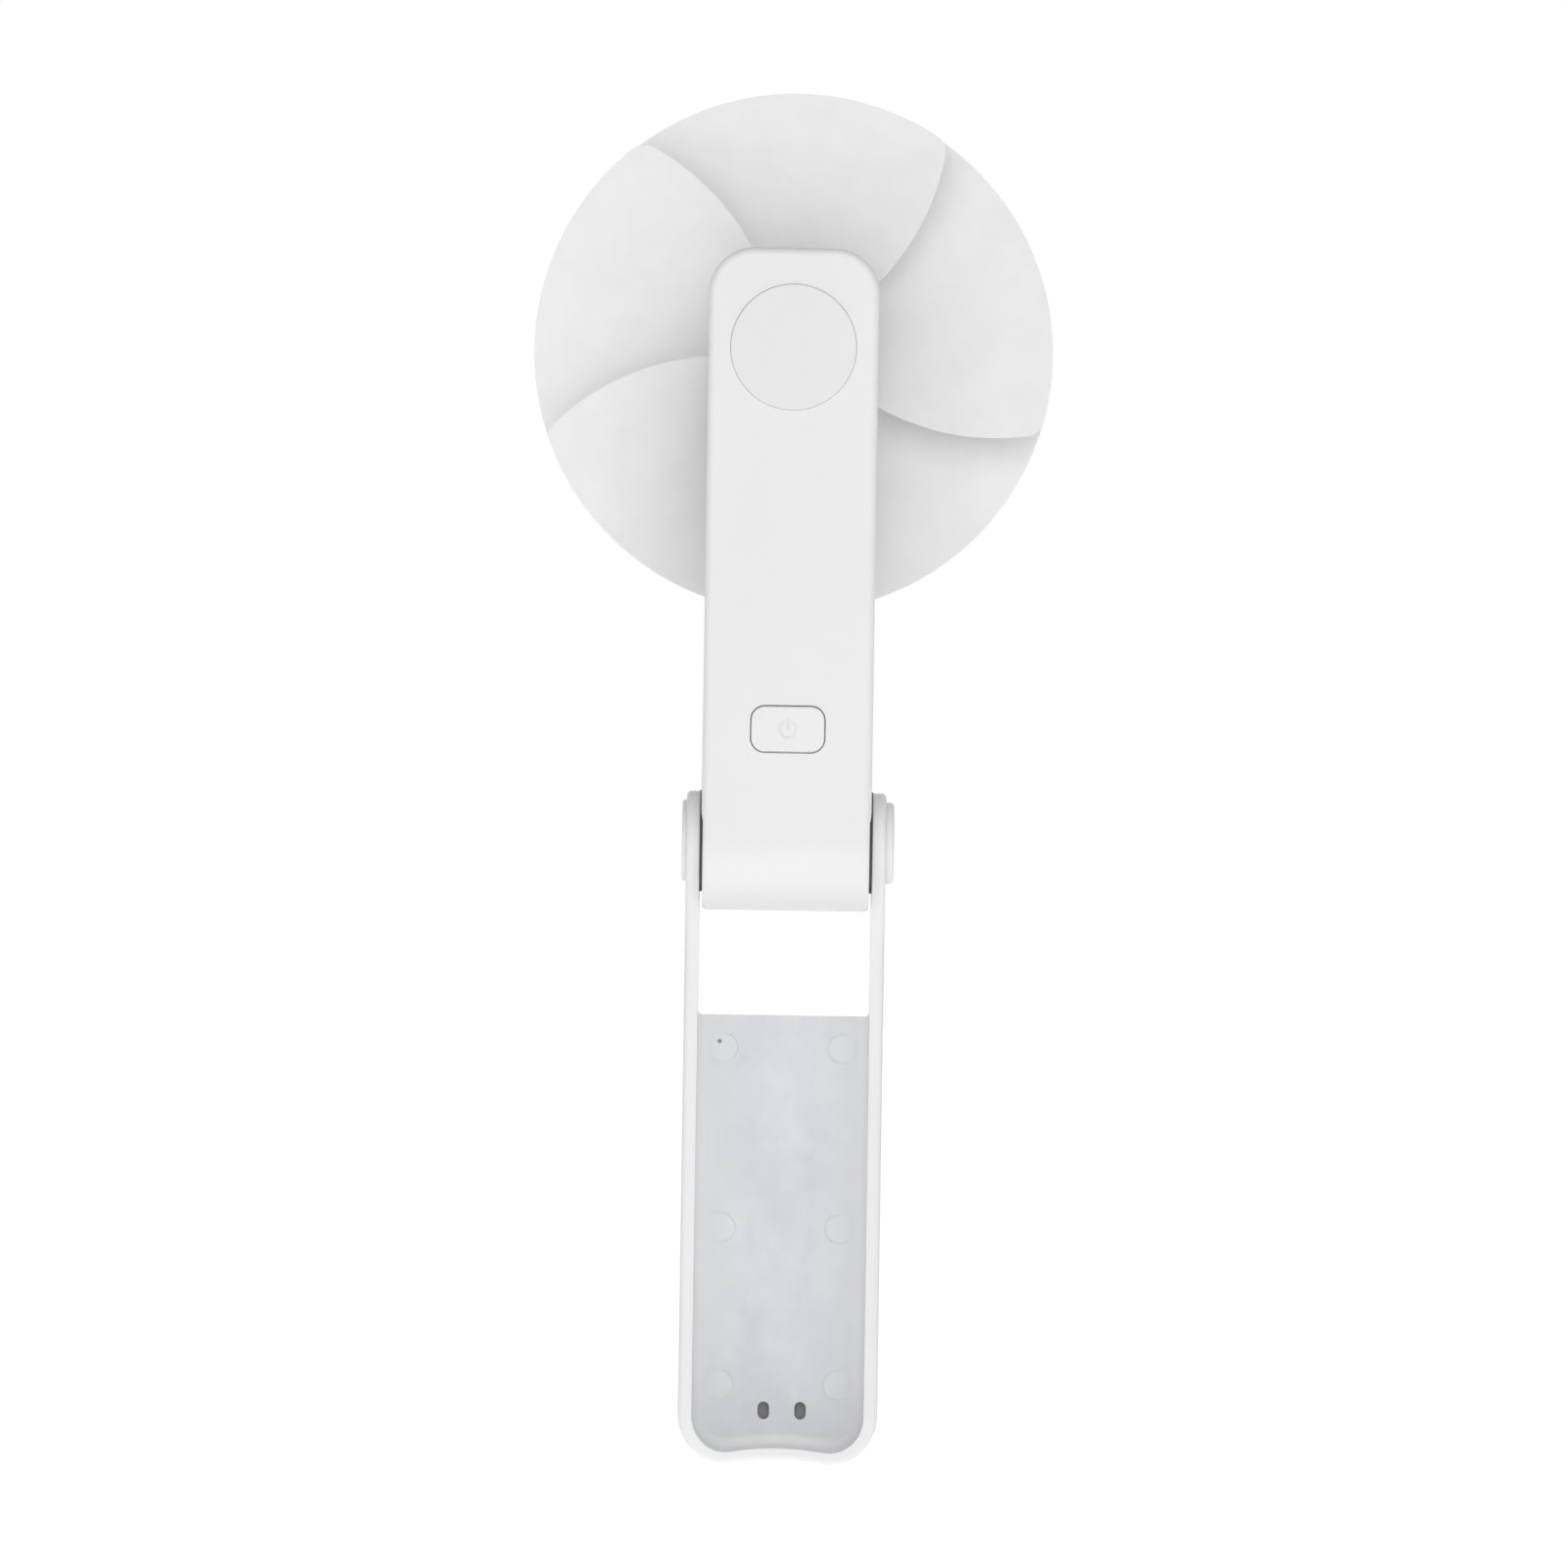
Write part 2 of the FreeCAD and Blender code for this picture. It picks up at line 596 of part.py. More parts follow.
def ring_slab(label, outer_inset, inner_inset, low, high):
    """The band between two casing forms, between two levels of y."""
    band = cut(f"{label}_band", casing_form(f"{label}_outer", outer_inset, s.cavity_edge),
               casing_form(f"{label}_inner", inner_inset, s.cavity_edge))
    reach = (-CASE_SIDE - 1, CASE_SIDE + 1)
    slab = block(f"{label}_slab", reach, (low, high), (-CASE_FACE - 1, CASE_TOP + 1))
    return common(label, band, slab)


def boss_rods(label, radius, low, high, places):
    return [rod(f"{label}_{i}", "y", radius, low, high, spot) for i, spot in enumerate(places)]


def battery_rib(label, half, near, far, level):
    """A rib across the shell with a saddle that the battery lies in."""
    thick = s.rib_thickness / 2
    plate = block(f"{label}_plate", (-half, half), (near, far), (level - thick, level + thick))
    saddle = rod(f"{label}_saddle", "z", s.battery_radius + s.saddle_gap, level - thick - 1,
                 level + thick + 1, (0, BATTERY_AXIS))
    return cut(label, plate, saddle)


def half_of(label, hollow, low, high):
    """The part of the hollow casing between two levels of y."""
    reach = (-CASE_SIDE - 1, CASE_SIDE + 1)
    slab = block(f"{label}_slab", reach, (low, high), (-CASE_FACE - 1, CASE_TOP + 1))
    return common(f"{label}_half", hollow, slab)


def hinge_bosses(label, low, high):
    """Thick rings inside both side walls that hold the hinge bushes, on one side of the middle."""
    bosses = []
    for side in (-1, 1):
        ends = in_order((INNER_SIDE - s.hinge_boss_depth) * side, (INNER_SIDE + 0.3) * side)
        bosses.append(rod(f"{label}_{side + 1}", "x", HINGE_BOSS, *ends, (0, 0)))
    slab = block(f"{label}_slab", (-CASE_SIDE, CASE_SIDE), (low, high), (-HINGE_BOSS - 1, HINGE_BOSS + 1))
    return common(label, fuse(f"{label}_pair", *bosses), slab)


def lower_holes(label):
    """Tools for the holes that both shells share at the lower end: the hinge's and the socket's."""
    return [
        rod(f"{label}_hinge_hole", "x", HINGE_BUSH + s.pin_play, -CASE_SIDE - 1, CASE_SIDE + 1, (0, 0)),
        slot_tool(f"{label}_socket_hole", "z", s.socket_depth / 2 + s.socket_gap,
                  s.socket_width / 2 + s.socket_gap, -CASE_FACE - 1, -s.board_low,
                  (Size.of(0), SOCKET_MIDDLE)),
    ]


def make_casing():
    """The two shells that hold everything, and the cap over the motor."""
    hollow = cut("case_hollow", casing_form("case_outer", 0, s.case_edge),
                 casing_form("case_cavity", s.case_wall, s.cavity_edge))
    parting = ring_slab("parting_groove", Size.of(-1), s.groove, -s.groove / 2, s.groove / 2)
    cheeks = [
        rod(f"cheek_{side + 1}", "x", CASE_FACE, *in_order(CHEEK * side, (CASE_SIDE + 1) * side), (0, 0))
        for side in (-1, 1)
    ]
    hollow = cut("case_grooved", hollow, parting, *cheeks)
    half_wall = s.case_wall / 2

    rear_bosses = boss_rods("rear_boss", s.boss_radius, -INNER_FACE - 0.5, 0, BOSS_PLACES)
    rear_pilots = boss_rods("rear_pilot", s.screw_shank + s.pilot_gap, SCREW_SEAT - s.screw_length - 1, 1,
                            BOSS_PLACES)
    standoffs = boss_rods("standoff", s.standoff_radius, -INNER_FACE - 0.5, BOARD_BACK, STANDOFF_PLACES)
    standoff_pilots = boss_rods("standoff_pilot", BOARD_SHANK + s.pilot_gap,
                                BOARD_FRONT - s.board_screw_length - 0.4, BOARD_BACK + 1, STANDOFF_PLACES)
    rear_ribs = [
        battery_rib(f"rear_rib_{i}", s.rear_rib_half, -INNER_FACE - 0.5, BATTERY_AXIS, level)
        for i, level in enumerate(RIB_LEVELS)
    ]
    lip = ring_slab("rear_lip", half_wall + s.fit_gap, s.case_wall, -s.groove, s.lip_height)
    rear = fuse(
        "rear_shell_solid",
        half_of("rear", hollow, -CASE_FACE - 1, Size.of(0)),
        lip, *rear_bosses, *standoffs, *rear_ribs, hinge_bosses("rear_hinge_boss", -CASE_FACE, Size.of(0)),
    )
    cut(
        "rear_shell", rear, *lower_holes("rear"), *rear_pilots, *standoff_pilots,
        rod("cap_hole", "y", s.cap_radius + s.cap_gap, -CASE_FACE - 1, -CASE_FACE + s.case_wall / 2,
            (0, FAN_AXIS)),
        rod("cap_ledge_hole", "y", s.cap_radius - s.cap_ledge, -CASE_FACE - 1, -INNER_FACE + 1, (0, FAN_AXIS)),
        button_form("button_hole", s.button_gap, -CASE_FACE - 1, -INNER_FACE + 1),
    )

    front_bosses = boss_rods("front_boss", FRONT_BOSS, 0, INNER_FACE + 0.5, BOSS_PLACES)
    front_holes = boss_rods("front_hole", s.screw_shank + s.screw_gap, -1, CASE_FACE + 1, BOSS_PLACES)
    head_wells = boss_rods("head_well", s.screw_head + s.screw_gap, SCREW_SEAT, CASE_FACE + 1, BOSS_PLACES)
    front_ribs = [
        battery_rib(f"front_rib_{i}", s.front_rib_half, BATTERY_AXIS, INNER_FACE + 0.5, level)
        for i, level in enumerate(RIB_LEVELS)
    ]
    motor_pad = rod("motor_pad", "y", s.motor_radius, MOTOR_FRONT, INNER_FACE + 0.5, (0, FAN_AXIS))
    rebate = ring_slab("front_rebate", half_wall, s.case_wall + s.fit_gap, -s.groove,
                       s.lip_height + s.fit_gap)
    front = fuse(
        "front_shell_solid",
        half_of("front", hollow, Size.of(0), CASE_FACE + 1),
        motor_pad, *front_bosses, *front_ribs,
        hinge_bosses("front_hinge_boss", Size.of(0), CASE_FACE),
    )
    cut(
        "front_shell", front, rebate, *lower_holes("front"), *front_holes, *head_wells,
        rod("nose_hole", "y", NOSE_RADIUS + s.fit_gap, MOTOR_FRONT - 1, CASE_FACE + 1, (0, FAN_AXIS)),
        *boss_rods("motor_screw_hole", s.screw_shank + s.screw_gap, MOTOR_FRONT - 1, CASE_FACE + 1,
                   MOTOR_SCREW_PLACES),
        *boss_rods("motor_head_well", s.screw_head + s.screw_gap, MOTOR_SCREW_SEAT, CASE_FACE + 1,
                   MOTOR_SCREW_PLACES),
    )


def make_motor_cap():
    """The round cap in the casing's back, with a ring that snaps behind the shell's ledge."""
    back = -CASE_FACE - s.cap_proud
    ledge = -CASE_FACE + s.case_wall / 2
    inner = -INNER_FACE
    neck = s.cap_radius - s.cap_ledge - s.screw_gap
    body = turned("motor_cap", "y", [
        (back, 0), (back, s.cap_radius), (ledge, s.cap_radius), (ledge, neck), (inner + 0.1, neck),
        (inner + 0.1, neck + 0.35), (inner + 0.4, neck + 0.35), (inner + 0.7, neck),
        (inner + 0.7, neck - 1), (inner, neck - 1), (inner, 0),
    ], (0, 0, FAN_AXIS))
    rim = s.cap_radius.number
    fillet(body, s.cap_proud * 0.9, lambda edge: abs(edge.BoundBox.XLength / 2 - rim) < 0.01
           and abs(edge.BoundBox.YMin - back.number) < 0.01)


# Button and switch

def button_form(label, grow, low, high):
    """The button's outline, grown on every side, between two levels of y."""
    body = new_body(label)
    half_across = s.button_width / 2 + grow
    half_up = s.button_height / 2 + grow
    sketch = new_sketch(body, "outline", "XZ_Plane")
    draw_polygon(sketch, [(-half_across, -half_up), (half_across, -half_up),
                          (half_across, half_up), (-half_across, half_up)])
    pad(body, sketch, Size.of(high) - low)
    fillet(body, s.button_corner + grow, along(V(0, 1, 0)))
    return place(body, 0, (Size.of(high) + low) / 2, s.button_level)


def power_sign(back):
    """A tool for the power sign: an open ring and a stroke."""
    low, high = back - 1, back + s.icon_depth
    ring = cut(
        "sign_ring",
        rod("sign_outer", "y", s.icon_radius, low, high, (0, s.button_level)),
        rod("sign_inner", "y", s.icon_radius - s.icon_line, low - 1, high + 1, (0, s.button_level)),
        block("sign_break", (-s.icon_radius * 0.45, s.icon_radius * 0.45), (low - 1, high + 1),
              (s.button_level, s.button_level + s.icon_radius + 1)),
    )
    stroke = block("sign_stroke", (-s.icon_line / 2, s.icon_line / 2), (low, high),
                   (s.button_level, s.button_level + s.icon_radius * 1.1))
    return fuse("power_sign", ring, stroke)


def make_button():
    """The power button, its switch and the switch's plunger, which travels with the button."""
    back = -CASE_FACE - s.button_proud
    flange_back = -INNER_FACE + s.fit_gap
    flange_front = flange_back + s.flange_depth
    plunger_front = SWITCH_BACK + s.switch_well / 3
    post_end = plunger_front - s.plunger_length
    face = button_form("button_face", Size.of(0), back, flange_back + 0.1)
    doc.recompute()
    edge = back.number
    fillet(face, Size.of(0.4), lambda e: e.BoundBox.YMax + face.Placement.Base.y < edge + 0.01)
    flange = button_form("button_flange", s.button_flange, flange_back, flange_front)
    post = rod("button_post", "y", s.plunger_radius - 0.2, flange_front - 0.2, post_end, (0, s.button_level))
    cut("power_button", fuse("button_solid", face, flange, post), power_sign(back))
    half = s.switch_side / 2
    switch = block("switch_block", (-half, half), (SWITCH_BACK, BOARD_BACK),
                   (s.button_level - half, s.button_level + half))
    well = rod("switch_well", "y", s.plunger_radius + s.fit_gap, SWITCH_BACK - 1,
               SWITCH_BACK + s.switch_well, (0, s.button_level))
    cut("switch_body", switch, well)
    turned("switch_plunger", "y", [(post_end, 0), (post_end, s.plunger_radius),
                                   (plunger_front, s.plunger_radius), (plunger_front, 0)],
           (0, 0, s.button_level))


# Board, socket and battery

def make_board():
    """The control board with its parts, screws and charging socket."""
    board = block("board_blank", (-s.board_half, s.board_half), (BOARD_BACK, BOARD_FRONT),
                  (-s.board_low, BOARD_HIGH))
    cut("control_board", board, *boss_rods("board_hole", BOARD_SHANK + s.screw_gap, BOARD_BACK - 1,
                                           BOARD_FRONT + 1, STANDOFF_PLACES))
    # Across, up, half width, half height and thickness of each part on the front of the board.
    parts = [
        (0, 8.5, 2.0, 2.0, 0.9), (-5.0, 19.5, 2.4, 2.4, 2.2), (4.8, 19.0, 1.6, 2.6, 1.4),
        (-5.5, 3.5, 0.8, 1.2, 0.8), (5.5, 3.5, 0.8, 1.2, 0.8), (0, 23.5, 1.5, 1.5, 0.8),
        (5.2, 25.6, 0.8, 0.5, 0.5), (0, 2.6, 1.6, 0.8, 0.6),
    ]
    group("board_parts", [
        block(f"board_part_{i}", (Size.of(x - w), Size.of(x + w)), (BOARD_FRONT, BOARD_FRONT + t),
              (Size.of(z - h), Size.of(z + h)))
        for i, (x, z, w, h, t) in enumerate(parts)
    ])
    mouth = -SOCKET_MOUTH
    end = mouth + s.socket_length
    half = s.socket_width / 2
    deep = s.socket_depth / 2
    skin = s.socket_skin
    outer = slot_tool("socket_outer", "z", deep, half, mouth, end, (Size.of(0), SOCKET_MIDDLE))
    inner = slot_tool("socket_inner", "z", deep - skin, half - skin, mouth - 1, end - 0.6,
                      (Size.of(0), SOCKET_MIDDLE))
    cut("charging_socket", outer, inner)
    block_tongue = block("socket_tongue", (-half * 0.75, half * 0.75),
                         (SOCKET_MIDDLE - 0.35, SOCKET_MIDDLE + 0.35), (mouth + 0.8, end - 0.6))
    block_tongue.Label = "socket_tongue"


def make_battery():
    """The battery cell and the tabs welded to its ends."""
    low, radius = BATTERY_LOW, s.battery_radius
    turned("battery_cell", "z", [
        (low, 0), (low, radius - 0.4), (low + 0.4, radius), (BATTERY_TOP - 1.4, radius),
        (BATTERY_TOP - 1, radius - 0.4), (BATTERY_TOP - 1, radius * 0.35), (BATTERY_TOP, radius * 0.35),
        (BATTERY_TOP, 0),
    ], (0, BATTERY_AXIS, 0))
    back = BATTERY_AXIS - radius - 1.6
    group("battery_tabs", [
        block("lower_tab", (-s.tab_half, s.tab_half), (back, BATTERY_AXIS), (low - s.tab_thickness, low)),
        block("upper_tab", (-s.tab_half, s.tab_half), (back, BATTERY_AXIS),
              (BATTERY_TOP, BATTERY_TOP + s.tab_thickness)),
    ])


def lead(points, radius):
    """A round wire through points: straight runs joined by tangent arcs as large as the runs allow."""
    points = [V(*p) for p in points]
    edges, start = [], points[0]
    for before, corner, after in zip(points, points[1:], points[2:]):
        into = (corner - before).normalize()
        out = (after - corner).normalize()
        turn = into.getAngle(out)
        reach = 0.45 * min(corner.distanceToPoint(before), corner.distanceToPoint(after))
        first = corner - into * reach
        last = corner + out * reach
        bend = reach / math.tan(turn / 2)
        centre = first + (out - into * into.dot(out)).normalize() * bend
        middle = centre + (corner - centre).normalize() * bend
        edges += [Part.LineSegment(start, first).toShape(), Part.Arc(first, middle, last).toShape()]
        start = last
    edges.append(Part.LineSegment(start, points[-1]).toShape())
    path = Part.Wire(edges)
    ring = Part.Wire(Part.Circle(points[0], (points[1] - points[0]).normalize(), radius).toShape())
    return path.makePipeShell([ring], True, False)


def make_leads():
    """The insulated leads inside the casing, from the battery and the motor to the board."""
    radius = s.lead_radius.number
    board = BOARD_BACK.number
    run = -(INNER_FACE.number - 1.6)
    low = BOARD_HIGH.number - 2.4
    above = BOARD_HIGH.number + 0.5
    tab = BATTERY_LOW.number - s.tab_thickness.number
    top_tab = BATTERY_TOP.number
    tab_back = BATTERY_AXIS.number - s.battery_radius.number - 1.1
    feature("battery_lead_black", lead([(1.6, tab_back, tab), (1.6, tab_back, low), (1.6, board, low)], radius))
    feature("battery_lead_red", lead([
        (2.0, tab_back, top_tab), (2.0, tab_back, top_tab - 3), (8.3, run, top_tab - 9),
        (8.3, run, above + 6), (3.4, run, above), (3.4, run, low), (3.4, board, low),
    ], radius))
    motor_back = END_PLATE_BACK.number
    start = FAN_AXIS.number - 7.6
    wires = []
    for column, end in ((-8.2, -4.4), (-6.95, -2.9)):
        wires.append(lead([
            (column + 2.4, motor_back, start), (column + 2.4, run, start), (column, run, start - 6),
            (column, run, above + 6.5), (end, run, above), (end, run, low), (end, board, low),
        ], radius))
    feature("motor_leads", Part.makeCompound(wires))


# Motor

def make_motor():
    """The motor: can, end plate, bushes, stator, coils, and the magnet and shaft that turn."""
    at = (0, 0, FAN_AXIS)
    front, back, radius = MOTOR_FRONT, MOTOR_BACK, s.motor_radius
    nose_front = front + s.front_nose
    bore = s.bush_radius + s.pilot_gap
    can = turned("motor_can_blank", "y", [
        (front - s.can_front, bore), (front - s.can_front, CAN_INSIDE), (back, CAN_INSIDE), (back, radius),
        (front, radius), (front, NOSE_RADIUS), (nose_front, NOSE_RADIUS), (nose_front, bore),
    ], at)
    cut("motor_can", can, *boss_rods("can_tapping", s.screw_shank + s.pilot_gap, front - 2, front + 1,
                                     MOTOR_SCREW_PLACES))
    spigot = back + s.can_skin
    turned("motor_end_plate", "y", [
        (REAR_NOSE_BACK, bore), (REAR_NOSE_BACK, NOSE_RADIUS), (END_PLATE_BACK, NOSE_RADIUS),
        (END_PLATE_BACK, radius), (back, radius), (back, CAN_INSIDE - s.pilot_gap),
        (spigot, CAN_INSIDE - s.pilot_gap), (spigot, bore),
    ], at)
    running = s.shaft_radius + s.shaft_play
    for label, low, high in (("front_bush", front - s.can_front * 1.5, nose_front),
                             ("rear_bush", REAR_NOSE_BACK, spigot)):
        turned(label, "y", [(low, running), (low, s.bush_radius), (high, s.bush_radius), (high, running)], at)
    # A clip in a groove keeps the shaft from sliding out.
    neck = s.shaft_radius * 0.7
    groove_back = SHAFT_BACK + s.clip_thickness
    groove_front = groove_back + s.clip_thickness + s.fit_gap
    turned("motor_shaft", "y", [
        (SHAFT_BACK, 0), (SHAFT_BACK, s.shaft_radius), (groove_back, s.shaft_radius), (groove_back, neck),
        (groove_front, neck), (groove_front, s.shaft_radius), (SHAFT_FRONT, s.shaft_radius), (SHAFT_FRONT, 0),
    ], at)
    clip_back, clip_front = groove_back + s.fit_gap / 2, groove_front - s.fit_gap / 2
    turned("shaft_clip", "y", [
        (clip_back, neck + s.pilot_gap), (clip_back, s.shaft_radius * 2.2),
        (clip_front, s.shaft_radius * 2.2), (clip_front, neck + s.pilot_gap),
    ], at)
    middle = (front - s.can_front + spigot) / 2
    half = s.stator_length / 2
    magnet_half = half + s.magnet_over
    grip = s.shaft_radius + s.pilot_gap / 2
    turned("rotor_magnet", "y", [
        (middle - magnet_half, grip), (middle - magnet_half, MAGNET_RADIUS),
        (middle + magnet_half, MAGNET_RADIUS), (middle + magnet_half, grip),
    ], at)

    stator = new_body("stator_core")
    ring = new_sketch(stator, "ring", "XZ_Plane")
    draw_circle(ring, 0, 0, CAN_INSIDE - s.pilot_gap)
    draw_circle(ring, 0, 0, CAN_INSIDE - s.stator_ring)
    pad(stator, ring, s.stator_length)
    tooth = new_sketch(stator, "tooth", "XZ_Plane")
    wide = s.tooth_width / 2
    shoe = wide * 1.6
    into_ring = CAN_INSIDE - s.stator_ring + 0.3
    draw_polygon(tooth, [
        (-shoe, TOOTH_TIP), (shoe, TOOTH_TIP), (shoe, TOOTH_TIP + 0.7), (wide, TOOTH_TIP + 0.9),
        (wide, into_ring), (-wide, into_ring), (-wide, TOOTH_TIP + 0.9), (-shoe, TOOTH_TIP + 0.7),
    ])
    tooth_pad = pad(stator, tooth, s.stator_length)
    teeth = stator.newObject("PartDesign::PolarPattern", "stator_teeth")
    teeth.Originals = [tooth_pad]
    teeth.Axis = (tooth, ["N_Axis"])
    teeth.Angle = 360
    bind(teeth, "Occurrences", s.tooth_count)
    stator.Tip = teeth
    place(stator, 0, middle, FAN_AXIS)

    low, high = TOOTH_TIP + 1.1, CAN_INSIDE - s.stator_ring - 0.6
    gap = s.fit_gap / 2
    across = wide + s.coil_depth
    deep = half + s.coil_depth
    coil = cut(
        "coil_form",
        block("coil_outer", (-across, across), (middle - deep, middle + deep), (low, high)),
        block("coil_inner", (-wide - gap, wide + gap), (middle - half - gap, middle + half + gap),
              (low - 1, high + 1)),
    )
    doc.recompute()
    count = int(s.tooth_count.number)
    coils = []
    for i in range(count):
        turned_coil = coil.Shape.copy()
        turned_coil.rotate(V(), V(0, 1, 0), 360 * i / count)
        coils.append(turned_coil)
    feature("stator_coils", Part.makeCompound(coils), at)


# Screws

def screw_shape(head, head_depth, shank, length):
    """A small self-tapping screw pointing along -Y from the seat of its head, with a cross recess."""
    top = Part.makeCylinder(head, head_depth, V(0, 0, 0), V(0, 1, 0))
    crown = max(top.Edges, key=lambda e: e.BoundBox.YMin)
    top = top.makeFillet(head_depth * 0.4, [crown])
    body = Part.makeCylinder(shank, length - shank, V(0, shank - length, 0), V(0, 1, 0))
    point = Part.makeCone(shank * 0.3, shank, shank, V(0, -length, 0), V(0, 1, 0))
    solid = top.fuse([body, point]).removeSplitter()
    arm, slit, depth = head * 0.62, head * 0.17, head_depth * 0.6
    for across, up in ((arm, slit), (slit, arm)):
        corner = V(-across, head_depth - depth, -up)
        solid = solid.cut(Part.makeBox(2 * across, depth + 1, 2 * up, corner))
    return solid


def screw_group(label, solid, seat, places):
    """Copies of one screw, as separate solids in one node."""
    copies = []
    for across, up in places:
        screw = solid.copy()
        screw.translate(V(across.number, seat.number, up.number))
        copies.append(screw)
    feature(label, Part.makeCompound(copies))


def make_screws():
    shank, head = s.screw_shank.number, s.screw_head.number
    shell = screw_shape(head, 1.2, shank, s.screw_length.number)
    screw_group("shell_screws", shell, SCREW_SEAT, BOSS_PLACES)
    board = screw_shape(head * 0.85, 0.9, BOARD_SHANK.number, s.board_screw_length.number)
    screw_group("board_screws", board, BOARD_FRONT, STANDOFF_PLACES)
    motor_length = (MOTOR_SCREW_SEAT - MOTOR_FRONT + s.can_front).number + 0.8
    motor = screw_shape(head, 1.0, shank, motor_length)
    screw_group("motor_screws", motor, MOTOR_SCREW_SEAT, MOTOR_SCREW_PLACES)


# Rotor

def lean(radius):
    """Degrees that a blade's edges have leant at a radius, counted from the hub."""
    share = (radius - s.hub_radius.number) / (s.blade_tip.number - s.hub_radius.number)
    return s.blade_sweep.number * share * abs(share)


def polar(radius, degrees, y=0.0):
    return V(radius * math.cos(math.radians(degrees)), y, radius * math.sin(math.radians(degrees)))


def blade_slab(thickness, back):
    """A sheet that rises evenly round the rotor axis, wider than one blade on every side."""
    span, rise = s.blade_span.number, s.blade_rise.number
    reach = span * 0.62
    grid = []
    for i in range(13):
        angle = -reach + 2 * reach * i / 12
        row = []
        for j in range(9):
            radius = 6 + (s.blade_tip.number + 6 - 6) * j / 8
            row.append(polar(radius, angle + lean(radius), back + rise * (angle / span + 0.5)))
        grid.append(row)
    surface = Part.BSplineSurface()
    surface.interpolate(grid)
    return surface.toShape().extrude(V(0, thickness, 0))


def blade_outline(inner):
    """A prism with a blade's outline seen along the axis, from radius inner to the tip."""
    outer, half = s.blade_tip.number, s.blade_span.number / 2
    middle = (inner + outer) / 2
    def edge_at(side):
        return [polar(r, side * half + lean(r)) for r in (inner, middle, outer)]
    low, high = edge_at(-1), edge_at(1)
    tip_middle, root_middle = polar(outer, lean(outer)), polar(inner, lean(inner))
    wire = Part.Wire([
        Part.Arc(*low).toShape(),
        Part.Arc(low[2], tip_middle, high[2]).toShape(),
        Part.Arc(high[2], high[1], high[0]).toShape(),
        Part.Arc(high[0], root_middle, low[0]).toShape(),
    ])
    depth = 60
    prism = Part.Face(wire).extrude(V(0, depth, 0))
    corners = [
        edge for edge in prism.Edges
        if edge.BoundBox.YLength > depth - 1
        and math.hypot(edge.CenterOfMass.x, edge.CenterOfMass.z) > outer - 0.1
    ]
    return prism.makeFillet(s.blade_round.number, corners)


def make_rotor():
    """The hub, its cap and the soft blades that slot into the hub."""
    at = (0, 0, FAN_AXIS)
    grip = s.shaft_radius + s.pilot_gap / 2
    inside = s.hub_radius - s.hub_wall
    recess = s.hub_radius - s.hub_rim
    web = HUB_SEAT - s.hub_web
    hub = turned("hub_blank", "y", [
        (HUB_BACK + 1, grip), (HUB_BACK + 1, s.hub_boss), (web, s.hub_boss), (web, inside),
        (HUB_BACK, inside), (HUB_BACK, s.hub_radius), (HUB_FRONT, s.hub_radius), (HUB_FRONT, recess),
        (HUB_SEAT, recess), (HUB_SEAT, grip),
    ], at)
    cap_radius = recess - s.fit_gap / 2
    cap = turned("hub_cap", "y", [
        (HUB_SEAT, 0), (HUB_SEAT, cap_radius), (HUB_FRONT + s.hub_cap_rise, cap_radius),
        (HUB_FRONT + s.hub_cap_rise, 0),
    ], at)
    front = (HUB_FRONT + s.hub_cap_rise).number
    fillet(cap, s.hub_cap_rise * 0.9, lambda edge: abs(edge.BoundBox.YMin - front) < 0.01
           and edge.BoundBox.XLength > 1)

    count = int(s.blade_count.number)
    back, skin, slack = BLADE_BACK.number, s.blade_skin.number, s.blade_play.number
    root = s.hub_radius.number - s.blade_root.number
    blade = blade_slab(skin, back).common(blade_outline(root))
    slot = blade_slab(skin + 2 * slack, back - slack).common(blade_outline(root - slack))
    # The first blade's middle is straight up, so that one seam between blades lies behind the casing.
    first = 90 - lean(s.blade_tip.number) / 2
    slots = []
    for i in range(count):
        turn = first + 360 * i / count
        leaf, gap = blade.copy(), slot.copy()
        for shape in (leaf, gap):
            shape.rotate(V(), V(0, 1, 0), -turn)
        slots.append(gap)
        feature(f"blade_{i + 1}", leaf, at)
    tools = feature("hub_slots", Part.makeCompound(slots), at)
    cut("rotor_hub", hub, tools)


# Hinge

